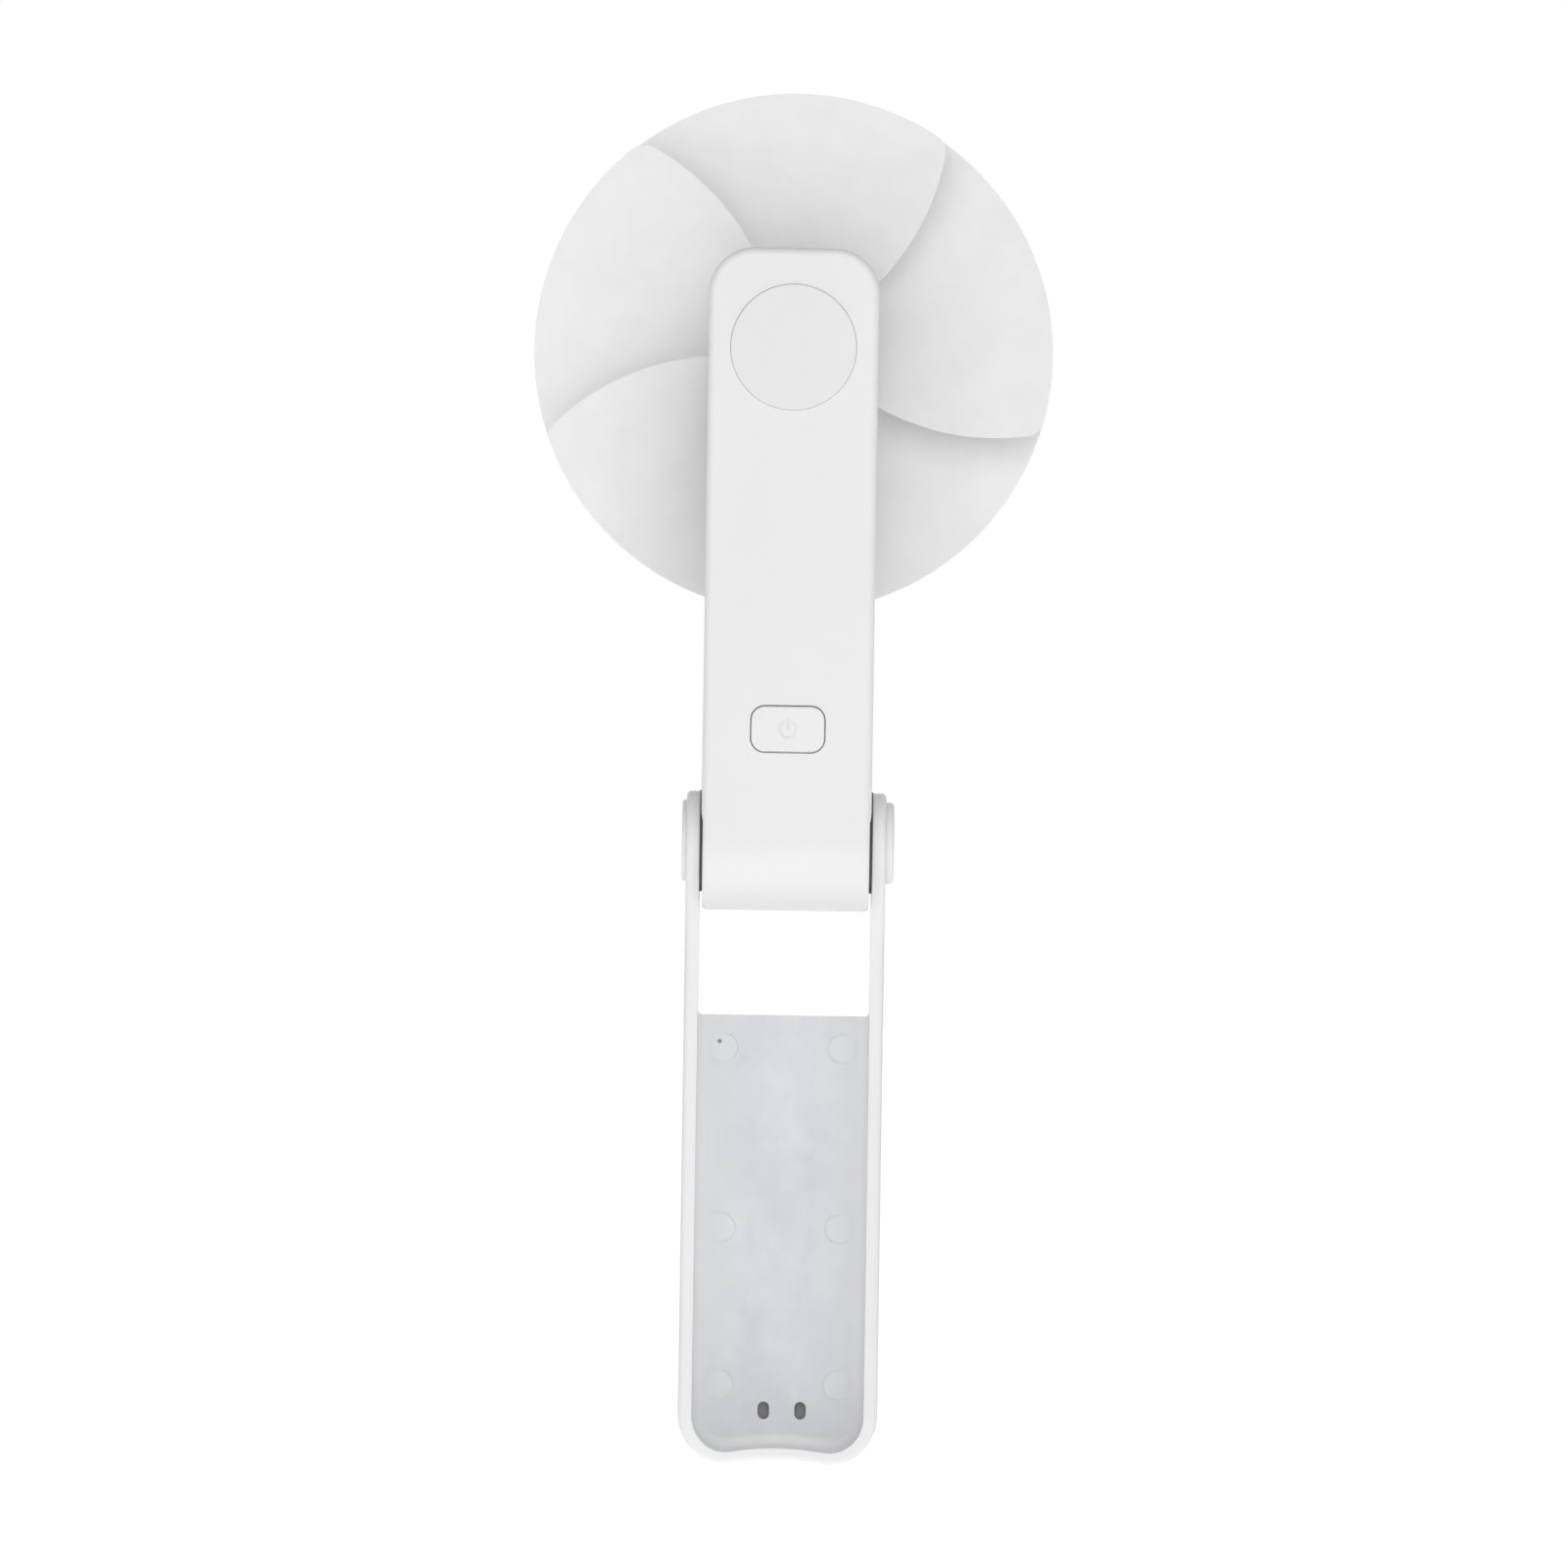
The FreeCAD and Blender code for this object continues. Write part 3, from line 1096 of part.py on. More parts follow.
def make_hinge(label, side):
    """One side of the hinge: bush, washer, pin, clip and cap, mirrored for the left."""
    def mirrored(name, profile):
        return turned(f"{label}_{name}", "x", [(Size.of(step) * side, radius) for step, radius in profile])

    running = s.pin_radius + s.pin_play
    flange_out = INNER_SIDE - s.hinge_boss_depth
    flange_in = flange_out - s.bush_flange_depth
    flange = HINGE_BUSH + s.bush_flange_step
    mirrored("hinge_bush", [
        (flange_in, running), (flange_in, flange), (flange_out, flange), (flange_out, HINGE_BUSH),
        (CHEEK, HINGE_BUSH), (CHEEK, running),
    ])
    washer_in, washer_bore = CHEEK + s.washer_play, s.pin_radius + s.fit_gap
    mirrored("washer", [
        (washer_in, washer_bore), (washer_in, s.washer_radius), (ARM_INNER, s.washer_radius),
        (ARM_INNER, washer_bore),
    ])
    head_in = ARM_OUTER - s.pin_head_depth - s.pin_head_sink
    head_out = head_in + s.pin_head_depth
    neck = s.pin_radius * 0.75
    groove_out = flange_in - s.screw_gap
    groove_in = groove_out - s.clip_thickness - s.fit_gap
    pin_end = groove_in - s.clip_thickness * 2
    mirrored("hinge_pin", [
        (pin_end, 0), (pin_end, s.pin_radius), (groove_in, s.pin_radius), (groove_in, neck),
        (groove_out, neck), (groove_out, s.pin_radius), (head_in, s.pin_radius), (head_in, PIN_HEAD),
        (head_out, PIN_HEAD), (head_out, 0),
    ])
    clip_in, clip_out = groove_in + s.fit_gap / 2, groove_out - s.fit_gap / 2
    mirrored("pin_clip", [
        (clip_in, neck + s.pilot_gap), (clip_in, s.pin_radius * 1.8), (clip_out, s.pin_radius * 1.8),
        (clip_out, neck + s.pilot_gap),
    ])
    ring_bore = PIN_HEAD + s.cap_ring_gap
    ring_rim = ring_bore + s.cap_ring
    ring_in = ARM_OUTER - s.cap_ring_depth
    proud = s.right_cap_proud if side > 0 else s.left_cap_proud
    cap = mirrored("hinge_cap", [
        (ARM_OUTER, 0), (ARM_OUTER, ring_bore), (ring_in, ring_bore), (ring_in, ring_rim),
        (ARM_OUTER, ring_rim), (ARM_OUTER, HINGE_CAP), (ARM_OUTER + proud, HINGE_CAP), (ARM_OUTER + proud, 0),
    ])
    crown = (ARM_OUTER + proud).number * side
    fillet(cap, proud * 0.6, lambda edge: abs(edge.BoundBox.XMin - crown) < 0.01
           and abs(edge.BoundBox.XMax - crown) < 0.01)


# Flip cover

def cover_side_outline(sketch):
    """The cover seen from the side: a straight tray whose arms sweep up to the round hinge ends."""
    end, near, far = s.arm_end.number, s.arm_near.number, s.arm_far.number
    rim, floor, bottom = -s.rim_past.number, FLOOR_OUTER.number, -COVER_END.number
    near_x = rim - near
    near_z = -math.sqrt((near + end) ** 2 - near_x ** 2)
    far_x = floor - far
    far_z = -math.sqrt((far - end) ** 2 - far_x ** 2)
    near_turn = math.atan2(-near_z, -near_x)
    far_turn = math.atan2(-far_z, -far_x)
    normal = V(0, 0, 1)
    arc = sketch.addGeometry(Part.ArcOfCircle(Part.Circle(V(), normal, end), far_turn, math.pi + near_turn))
    near_arc = sketch.addGeometry(
        Part.ArcOfCircle(Part.Circle(V(near_x, near_z, 0), normal, near), 0, near_turn))
    rim_line = sketch.addGeometry(Part.LineSegment(V(rim, near_z, 0), V(rim, bottom, 0)))
    end_line = sketch.addGeometry(Part.LineSegment(V(rim, bottom, 0), V(floor, bottom, 0)))
    floor_line = sketch.addGeometry(Part.LineSegment(V(floor, bottom, 0), V(floor, far_z, 0)))
    far_arc = sketch.addGeometry(
        Part.ArcOfCircle(Part.Circle(V(far_x, far_z, 0), normal, far), 0, far_turn))
    for where in ((arc, 1, far_arc, 2), (arc, 2, near_arc, 2), (near_arc, 1, rim_line, 1),
                  (floor_line, 2, far_arc, 1)):
        sketch.addConstraint(Sketcher.Constraint("Tangent", *where))
    join(sketch, rim_line, end_line)
    join(sketch, end_line, floor_line)
    sketch.addConstraint(Sketcher.Constraint("Coincident", arc, 3, -1, 1))
    for line in (rim_line, floor_line):
        sketch.addConstraint(Sketcher.Constraint("Vertical", line))
    sketch.addConstraint(Sketcher.Constraint("Horizontal", end_line))
    fix(sketch, "Radius", (arc,), s.arm_end)
    fix(sketch, "Radius", (near_arc,), s.arm_near)
    fix(sketch, "Radius", (far_arc,), s.arm_far)
    fix_point(sketch, end_line, 1, -s.rim_past, -COVER_END)
    fix(sketch, "DistanceX", (-1, 1, end_line, 2), FLOOR_OUTER)


def notch(body, depth_in, ends_round):
    """Takes the thumb notch out of a body's lower end, depth_in beyond the cover's own notch."""
    sketch = new_sketch(body, "notch", "XZ_Plane")
    draw_circle(sketch, 0, -COVER_END - NOTCH_RADIUS + s.notch_depth, NOTCH_RADIUS + depth_in)
    pocket(body, sketch)
    end = -(COVER_END - s.notch_depth * 3 - s.end_wall).number
    middle = s.notch_half.number * 1.35
    fillet(body, ends_round, lambda edge: along(V(0, 1, 0))(edge) and edge.CenterOfMass.z < end
           and abs(edge.CenterOfMass.x) < middle)


def make_cover():
    """The flip cover: a tray with two arms, a window between them and a thumb notch at its end."""
    outer = new_body("cover_outer")
    side = new_sketch(outer, "side", "YZ_Plane")
    cover_side_outline(side)
    pad(outer, side, ARM_OUTER * 2)
    low = -COVER_END.number
    fillet(outer, s.cover_corner, lambda edge: along(V(0, 1, 0))(edge) and edge.CenterOfMass.z < low + 0.1)
    notch(outer, Size.of(0), s.notch_round)
    fillet(outer, s.cover_edge)

    cavity = new_body("cover_cavity")
    plan = new_sketch(cavity, "plan", "XZ_Plane")
    reach = s.arm_end + 2
    draw_polygon(plan, [(-ARM_INNER, -CAVITY_END), (ARM_INNER, -CAVITY_END), (ARM_INNER, reach),
                        (-ARM_INNER, reach)])
    pad(cavity, plan, FLOOR_INNER * 2)
    inner_corner = s.cover_corner - s.cover_wall
    inner_low = -CAVITY_END.number
    fillet(cavity, inner_corner, lambda edge: along(V(0, 1, 0))(edge) and edge.CenterOfMass.z < inner_low + 0.1)
    notch(cavity, s.end_wall, s.notch_inner_round)
    face = FLOOR_INNER.number
    top = reach.number
    fillet(cavity, s.floor_round, lambda edge: edge.BoundBox.YMin > face - 0.01
           and edge.BoundBox.ZMin < top - 0.01)

    window = new_body("cover_window")
    opening = new_sketch(window, "opening", "XZ_Plane")
    draw_polygon(opening, [(-ARM_INNER, -s.window_below), (ARM_INNER, -s.window_below),
                           (ARM_INNER, reach), (-ARM_INNER, reach)])
    pad(window, opening, FLOOR_OUTER * 2 + 2)
    sill = -s.window_below.number
    fillet(window, s.window_round, lambda edge: along(V(0, 1, 0))(edge)
           and edge.CenterOfMass.z < sill + 0.1)

    slots = [
        slot_tool(f"lanyard_slot_{i}", "y", s.slot_width / 2, s.slot_height / 2, FLOOR_INNER - 1,
                  INSERT_FACE + 0.1, (s.slot_shift + s.slot_pitch / 2 * side, SLOT_LEVEL))
        for i, side in enumerate((-1, 1))
    ]
    seat = lanyard_tool("insert_seat", s.slot_pitch / 2, INSERT_HALF, INSERT_FACE, FLOOR_OUTER + 1)
    tray = CAVITY_END - s.window_below
    mark_side = ARM_INNER - s.mark_inset
    marks = [
        rod("pin_mark", "y", s.mark_radius, FLOOR_INNER - 1, FLOOR_INNER + s.mark_depth,
            (mark_side * side, -s.window_below - tray * share))
        for share in (0.075, 0.49, 0.85) for side in (-1, 1)
    ]
    gate = rod("gate_mark", "y", s.gate_radius, FLOOR_INNER - 1, FLOOR_INNER + s.mark_depth + s.gate_depth,
               (-mark_side - s.gate_aside, -s.window_below - s.gate_below))
    hinge = []
    for side in (-1, 1):
        def hole(name, radius, near, far):
            return rod(name, "x", radius, *in_order(near * side, far * side), (0, 0))

        beyond = ARM_OUTER + 3
        gap = s.fit_gap / 2
        ring_bore = PIN_HEAD + s.cap_ring_gap
        hinge.append(hole("pin_hole", s.pin_radius + s.pilot_gap, ARM_INNER - 1, beyond))
        hinge.append(hole("head_hole", PIN_HEAD + gap, ARM_OUTER - s.pin_head_depth - s.pin_head_sink, beyond))
        hinge.append(cut(
            "cap_ring",
            hole("cap_ring_out", ring_bore + s.cap_ring + gap, ARM_OUTER - s.cap_ring_depth - gap, beyond),
            hole("cap_ring_in", ring_bore - gap, ARM_OUTER - s.cap_ring_depth - 1, beyond + 1),
        ))
    cut("flip_cover", outer, cavity, window, *slots, seat, *marks, gate, *hinge)


def make_lanyard_insert():
    """The dark piece set into the cover's outer face, with a channel that joins the two lanyard slots."""
    blank = lanyard_tool("insert_blank", s.slot_pitch / 2, INSERT_HALF - s.fit_gap / 2, INSERT_FACE, FLOOR_OUTER)
    channel = lanyard_tool("insert_channel", (s.slot_pitch + s.slot_width - s.slot_height) / 2,
                           s.slot_height / 2, INSERT_FACE - 1, INSERT_FACE + s.cord_room)
    cut("lanyard_insert", blank, channel)


NODES = [
    "front_shell", "rear_shell", "motor_cap", "shell_screws",
    "motor_can", "motor_end_plate", "front_bush", "rear_bush", "stator_core", "stator_coils", "motor_screws",
    "battery_cell", "battery_tabs", "battery_lead_red", "battery_lead_black", "motor_leads",
    "control_board", "board_parts", "board_screws", "switch_body", "charging_socket", "socket_tongue",
    "left_hinge_bush", "right_hinge_bush",
    "motor_shaft", "shaft_clip", "rotor_magnet", "rotor_hub", "hub_cap",
    *[f"blade_{i + 1}" for i in range(int(s.blade_count.number))],
    "power_button", "switch_plunger",
    "flip_cover", "lanyard_insert", "left_hinge_pin", "right_hinge_pin", "left_pin_clip", "right_pin_clip",
    "left_washer", "right_washer", "left_hinge_cap", "right_hinge_cap",
]


def check_and_write():
    """Stops on any failed object or bad shape, then writes each node's STEP file."""
    failed = [o.Label for o in doc.Objects if {"Invalid", "Error"} & set(o.State)]
    if failed:
        raise RuntimeError(f"objects that failed to build: {failed}")
    os.makedirs("parts", exist_ok=True)
    for node in NODES:
        shape = doc.getObjectsByLabel(node)[0].Shape
        if shape.isNull() or not shape.isValid() or not shape.Solids:
            raise RuntimeError(f"{node} has no valid solid")
        print(f"{node}: {len(shape.Solids)} solid(s), {shape.Volume:.1f} mm3")
    for node in NODES:
        doc.getObjectsByLabel(node)[0].Shape.exportStep(f"parts/{node}.step")


make_casing()
make_motor_cap()
make_button()
make_board()
make_battery()
make_leads()
make_motor()
make_screws()
make_rotor()
make_hinge("left", -1)
make_hinge("right", 1)
make_cover()
make_lanyard_insert()
doc.recompute()
check_and_write()
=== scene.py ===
"""A white folding hand fan, opened out, seen straight from behind in soft studio light."""

import json
import math

import bpy
from mathutils import Matrix, Vector


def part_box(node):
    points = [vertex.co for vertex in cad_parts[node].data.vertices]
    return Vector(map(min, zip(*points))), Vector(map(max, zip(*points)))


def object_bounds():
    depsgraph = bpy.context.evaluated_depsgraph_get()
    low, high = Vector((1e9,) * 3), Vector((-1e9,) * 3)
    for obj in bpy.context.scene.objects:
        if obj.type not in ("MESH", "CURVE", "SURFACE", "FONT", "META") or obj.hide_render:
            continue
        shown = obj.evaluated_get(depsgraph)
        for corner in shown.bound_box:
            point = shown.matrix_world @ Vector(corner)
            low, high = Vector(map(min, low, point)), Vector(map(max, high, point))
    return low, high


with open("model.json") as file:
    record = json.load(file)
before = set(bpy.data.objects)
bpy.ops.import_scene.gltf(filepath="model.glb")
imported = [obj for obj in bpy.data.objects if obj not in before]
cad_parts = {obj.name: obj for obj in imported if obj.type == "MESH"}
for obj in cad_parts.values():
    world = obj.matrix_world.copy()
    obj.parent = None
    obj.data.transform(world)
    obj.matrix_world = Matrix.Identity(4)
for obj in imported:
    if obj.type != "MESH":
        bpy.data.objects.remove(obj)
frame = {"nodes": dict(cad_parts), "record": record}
cad_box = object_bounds()
NODES = frame["nodes"]
scene = bpy.context.scene

# Lengths are in metres, except where a name ends in mm. X is to the right, Y away and Z up.

X, Y, Z = range(3)
WHITE = (1, 1, 1)


# Node trees

COLOUR_A, COLOUR_B, COLOUR_RESULT = 6, 7, 2      # a mix node's sockets for colours


class Graph:
    """Short calls that add nodes to one tree and link them."""

    def __init__(self, owner):
        owner.use_nodes = True
        self.tree = owner.node_tree
        self.tree.nodes.clear()

    def node(self, kind, **settings):
        node = self.tree.nodes.new(kind)
        for name, value in settings.items():
            setattr(node, name, value)
        return node

    def put(self, socket, value):
        """Links an output to the socket, or sets the socket to a number, vector or colour."""
        if isinstance(value, bpy.types.NodeSocket):
            self.tree.links.new(value, socket)
        elif socket.type == "RGBA":
            socket.default_value = (*value, 1)
        else:
            socket.default_value = value

    def component(self, vector, axis):
        """A vector's component along one axis."""
        split = self.node("ShaderNodeSeparateXYZ")
        self.put(split.inputs[0], vector)
        return split.outputs[axis]

    def ramp(self, value, low, high, start, end, kind="LINEAR"):
        """Maps value from low..high to start..end, held at both ends."""
        node = self.node("ShaderNodeMapRange", interpolation_type=kind)
        self.put(node.inputs["Value"], value)
        for name, number in zip(("From Min", "From Max", "To Min", "To Max"), (low, high, start, end)):
            self.put(node.inputs[name], number)
        return node.outputs[0]

    def band(self, value, start, full, fade, end, most=1):
        """Rises from 0 to most between start and full, and falls back to 0 between fade and end."""
        return self.product(self.ramp(value, start, full, 0, most), self.ramp(value, fade, end, 1, 0))

    def math(self, operation, *values):
        node = self.node("ShaderNodeMath", operation=operation)
        for socket, value in zip(node.inputs, values):
            self.put(socket, value)
        return node.outputs[0]

    def product(self, first, *others):
        for other in others:
            first = self.math("MULTIPLY", first, other)
        return first

    def mix(self, factor, first, second):
        """Mixes two colours."""
        node = self.node("ShaderNodeMix", data_type="RGBA")
        self.put(node.inputs["Factor"], factor)
        self.put(node.inputs[COLOUR_A], first)
        self.put(node.inputs[COLOUR_B], second)
        return node.outputs[COLOUR_RESULT]


class Surface(Graph):
    """The tree of a new material with one shader, in the object's own coordinates."""

    def __init__(self, name):
        self.material = bpy.data.materials.new(name)
        super().__init__(self.material)
        self.bsdf = self.node("ShaderNodeBsdfPrincipled")
        output = self.node("ShaderNodeOutputMaterial")
        self.put(output.inputs["Surface"], self.bsdf.outputs[0])
        coordinates = self.node("ShaderNodeTexCoord")
        self.place = coordinates.outputs["Object"]
        self.normal = coordinates.outputs["Normal"]

    def along(self, axis):
        """The object's coordinate along one axis."""
        return self.component(self.place, axis)

    def stretch(self, x, y, z):
        """The object's coordinates, scaled along each axis."""
        node = self.node("ShaderNodeMapping")
        self.put(node.inputs["Vector"], self.place)
        self.put(node.inputs["Scale"], (x, y, z))
        return node.outputs[0]

    def upright(self):
        """The object's coordinates with X and Z as the texture's plane."""
        combine = self.node("ShaderNodeCombineXYZ")
        self.put(combine.inputs[0], self.along(X))
        self.put(combine.inputs[1], self.along(Z))
        return combine.outputs[0]

    def texture(self, kind, scale, place=None, **settings):
        """A texture in the object's coordinates, or in the given ones."""
        node = self.node(kind, **settings)
        self.put(node.inputs["Vector"], place or self.place)
        self.put(node.inputs["Scale"], scale)
        return node

    def noise(self, size_mm, detail=3.0, rough=0.5, place=None):
        """Noise from 0 to 1 with features of about size_mm."""
        node = self.texture("ShaderNodeTexNoise", 1000 / size_mm, place)
        self.put(node.inputs["Detail"], detail)
        self.put(node.inputs["Roughness"], rough)
        return node.outputs[0]

    def cells(self, size_mm):
        """How far each place is from the nearest of many points about size_mm apart."""
        return self.texture("ShaderNodeTexVoronoi", 1000 / size_mm).outputs["Distance"]

    def stripes(self, scale, direction, distortion, place=None):
        """Stripes from 0 to 1 that lie across a direction."""
        node = self.texture("ShaderNodeTexWave", scale, place, wave_type="BANDS", bands_direction=direction)
        self.put(node.inputs["Distortion"], distortion)
        return node.outputs["Fac"]

    def bump(self, height, depth_mm, below=None):
        """Bumps depth_mm high, on top of the bumps of below."""
        node = self.node("ShaderNodeBump")
        self.put(node.inputs["Distance"], depth_mm / 1000)
        self.put(node.inputs["Height"], height)
        if below is not None:
            self.put(node.inputs["Normal"], below)
        return node.outputs[0]

    def shade(self, **inputs):
        """Sets the shader's own sockets, with _ for a blank in their names, and gives the material."""
        for name, value in inputs.items():
            self.put(self.bsdf.inputs[name.replace("_", " ")], value)
        return self.material


# Materials

SCATTER = (0.0012, 0.0011, 0.001)           # how far red, green and blue light spread inside thick plastic
THIN_SCATTER = (0.0015, 0.0014, 0.0013)     # the same in the thin blades
SHEET_SCALE = 314                           # stripes 1 mm apart along one axis
WIRE_SCALE = 620                            # stripes on the diagonal, 1 mm apart along X and along Z
TRACK_SCALE = 330                           # board tracks 1.5 mm apart along X and 0.8 mm along Z

SKIN = 0.0008                               # cover floor between the lanyard slots' mouth and the insert
# Depths below the tray's floor where its painted shade starts, is full, starts to fade and ends
FLOOR_SHADE_DEPTHS = (-0.0005, -0.0001, 0.0010, 0.0018)
PIN_MARK_DEPTHS = (0.00005, 0.0002, 0.0004, 0.0005)     # the marks are 0.3 mm deep
# The gate mark's bottom is painted dark as shade.
GATE_SHADE_DEPTHS = (0.0004, 0.0005, 0.0009, 0.001)           # the gate mark is 0.8 mm deep


def tone(colour, share):
    """The colour, made lighter or darker by a share."""
    return tuple(min(channel * share, 1.0) for channel in colour)


def moulded(name, colour, rough, grain_mm=0.35, grain_depth_mm=0.006, handled=0.5, tint=None):
    """Moulded plastic: fine eroded grain, faint flow and sink marks, and light scratches from handling."""
    g = Surface(name)
    flow = g.noise(38, 2, 0.55, g.stretch(1, 1, 0.45))
    cloud = g.noise(9, 4, 0.6)
    specks = g.ramp(g.noise(1.1, 2, 0.5), 0.66, 0.78, 0, 0.35)
    base = g.mix(g.ramp(flow, 0.3, 0.7, 0, 1), tone(colour, 0.975), tone(colour, 1.012))
    base = g.mix(g.ramp(cloud, 0.45, 0.8, 0, 0.35), base, tone(colour, 0.955))
    base = g.mix(specks, base, tone(colour, 0.93))
    # A tint may paint shade into the colour, as on the tray's floor.
    if tint is not None:
        base = tint(g, base)
    dull = g.ramp(g.noise(16, 5, 0.65), 0.35, 0.75, rough - 0.04, rough + 0.1 * handled + 0.02)
    scratch = g.ramp(g.noise(0.8, 1, 0.5, g.stretch(1, 1, 0.06)), 0.74, 0.8, 0, 0.12 * handled)
    sinks = g.bump(g.noise(24, 1, 0.4), 0.03)
    eroded = g.bump(g.noise(grain_mm, 2, 0.6), grain_depth_mm, sinks)
    pitted = g.bump(g.cells(grain_mm * 1.4), grain_depth_mm * 0.6, eroded)
    return g.shade(Base_Color=base, Roughness=g.math("ADD", dull, scratch), Normal=pitted, IOR=1.5,
                   Subsurface_Weight=0.06, Subsurface_Radius=SCATTER, Subsurface_Scale=1.0)


def gloss(name, colour, rough):
    """Smoother plastic with hairline scratches and slight orange peel."""
    g = Surface(name)
    cloud = g.noise(7, 3, 0.5)
    base = g.mix(g.ramp(cloud, 0.3, 0.75, 0, 1), tone(colour, 1.005), tone(colour, 0.985))
    dull = g.ramp(g.noise(5, 4, 0.6), 0.3, 0.8, rough, rough + 0.04)
    hair = g.ramp(g.noise(0.5, 1, 0.5, g.stretch(0.1, 1, 1)), 0.7, 0.78, 0, 0.05)
    peel = g.bump(g.noise(1.4, 1, 0.5), 0.0006)
    fine = g.bump(g.noise(0.4, 1, 0.5), 0.0008, peel)
    return g.shade(Base_Color=base, Roughness=g.math("ADD", dull, hair), Normal=fine, IOR=1.5,
                   Subsurface_Weight=0.05, Subsurface_Radius=SCATTER, Subsurface_Scale=1.0)


def blade_plastic(name, colour, rough):
    """Soft blade plastic: a little cloudy, dusty and wavy, with more light inside than thick plastic."""
    g = Surface(name)
    cloud = g.noise(7, 3, 0.6)
    base = g.mix(g.ramp(cloud, 0.3, 0.75, 0, 1), tone(colour, 1.015), tone(colour, 0.97))
    dust = g.ramp(g.noise(0.9, 3, 0.65), 0.62, 0.8, 0, 0.3)
    base = g.mix(dust, base, tone(colour, 0.93))
    dull = g.ramp(g.noise(6, 4, 0.6), 0.3, 0.8, rough - 0.03, rough + 0.09)
    waves = g.bump(g.noise(14, 1, 0.4), 0.03)
    fine = g.bump(g.noise(0.5, 2, 0.5), 0.004, waves)
    return g.shade(Base_Color=base, Roughness=dull, Normal=fine, IOR=1.49,
                   Subsurface_Weight=0.15, Subsurface_Radius=THIN_SCATTER, Subsurface_Scale=1.0)


def metal(name, colour, rough, stretched=(1, 1, 1), line_mm=0.25):
    """Metal with fine tool lines, stains and small pits."""
    g = Surface(name)
    lines = g.noise(line_mm, 2, 0.6, g.stretch(*stretched))
    stain = g.noise(3, 4, 0.6)
    base = g.mix(g.ramp(stain, 0.35, 0.75, 0, 1), tone(colour, 1.05), tone(colour, 0.82))
    base = g.mix(g.ramp(lines, 0.4, 0.8, 0, 0.5), base, tone(colour, 0.75))
    worn = g.ramp(lines, 0.3, 0.7, rough - 0.06, rough + 0.06)
    dull = g.ramp(stain, 0.5, 0.9, 0, 0.12)
    marks = g.bump(lines, 0.004)
    pits = g.bump(g.noise(0.6, 3, 0.6), 0.004, marks)
    return g.shade(Base_Color=base, Roughness=g.math("ADD", worn, dull), Normal=pits, Metallic=1.0)


def laminated(name):
    """Varnished sheets stacked along Y, with dark lines between them."""
    g = Surface(name)
    sheets = g.stripes(SHEET_SCALE, "Y", 0.4)
    stain = g.noise(2, 4, 0.6)
    base = g.mix(g.ramp(sheets, 0.1, 0.5, 0, 1), (0.05, 0.05, 0.06), (0.32, 0.32, 0.34))
    base = g.mix(g.ramp(stain, 0.5, 0.8, 0, 0.5), base, (0.16, 0.12, 0.1))
    return g.shade(Base_Color=base, Roughness=g.ramp(stain, 0.3, 0.8, 0.35, 0.55),
                   Normal=g.bump(sheets, 0.02), Metallic=0.8)


def wound(name):
    """Enamelled copper wire, wound side by side."""
    g = Surface(name)
    turns = g.stripes(WIRE_SCALE, "DIAGONAL", 1.2, g.stretch(1, 0.25, 1))
    cloud = g.noise(1.6, 3, 0.5)
    base = g.mix(g.ramp(turns, 0.1, 0.6, 0, 1), (0.16, 0.045, 0.015), (0.72, 0.3, 0.12))
    base = g.mix(g.ramp(cloud, 0.5, 0.8, 0, 0.5), base, (0.5, 0.16, 0.05))
    return g.shade(Base_Color=base, Roughness=g.ramp(cloud, 0.3, 0.8, 0.22, 0.38),
                   Normal=g.bump(turns, 0.06), Metallic=1.0, Coat_Weight=0.4, Coat_Roughness=0.1)


def wrapped(name, colour):
    """Shrink wrap: glossy film with small creases and a cloudy colour."""
    g = Surface(name)
    crease = g.noise(2.5, 3, 0.55, g.stretch(1, 1, 0.3))
    cloud = g.noise(12, 3, 0.5)
    base = g.mix(g.ramp(cloud, 0.35, 0.7, 0, 1), colour, tone(colour, 0.7))
    base = g.mix(g.ramp(crease, 0.6, 0.8, 0, 0.3), base, tone(colour, 1.6))
    return g.shade(Base_Color=base, Roughness=g.ramp(crease, 0.3, 0.8, 0.18, 0.36),
                   Normal=g.bump(crease, 0.05), Coat_Weight=0.3, Coat_Roughness=0.08)


def solder_mask(name, colour):
    """Circuit board: copper tracks that show as lighter lines under the mask."""
    g = Surface(name)
    tracks = g.texture("ShaderNodeTexBrick", TRACK_SCALE, g.upright(), offset=0.37, squash=0.7,
                       squash_frequency=3)
    g.put(tracks.inputs["Mortar Size"], 0.05)
    lines = tracks.outputs["Fac"]
    base = g.mix(lines, colour, tone(colour, 1.9))
    base = g.mix(g.ramp(g.noise(4, 3, 0.6), 0.4, 0.8, 0, 0.5), base, tone(colour, 0.7))
    return g.shade(Base_Color=base, Roughness=g.ramp(g.noise(2, 3, 0.5), 0.3, 0.8, 0.25, 0.42),
                   Normal=g.bump(lines, 0.03), Coat_Weight=0.2, Coat_Roughness=0.15)


def rubbery(name, colour):
    """Soft insulation with a dull bloom."""
    g = Surface(name)
    bloom = g.noise(3, 4, 0.6)
    faded = tuple(channel * 0.8 + 0.03 for channel in colour)
    return g.shade(Base_Color=g.mix(g.ramp(bloom, 0.4, 0.8, 0, 0.6), colour, faded),
                   Roughness=g.ramp(bloom, 0.3, 0.8, 0.45, 0.65), Normal=g.bump(g.noise(0.5, 3, 0.5), 0.01))


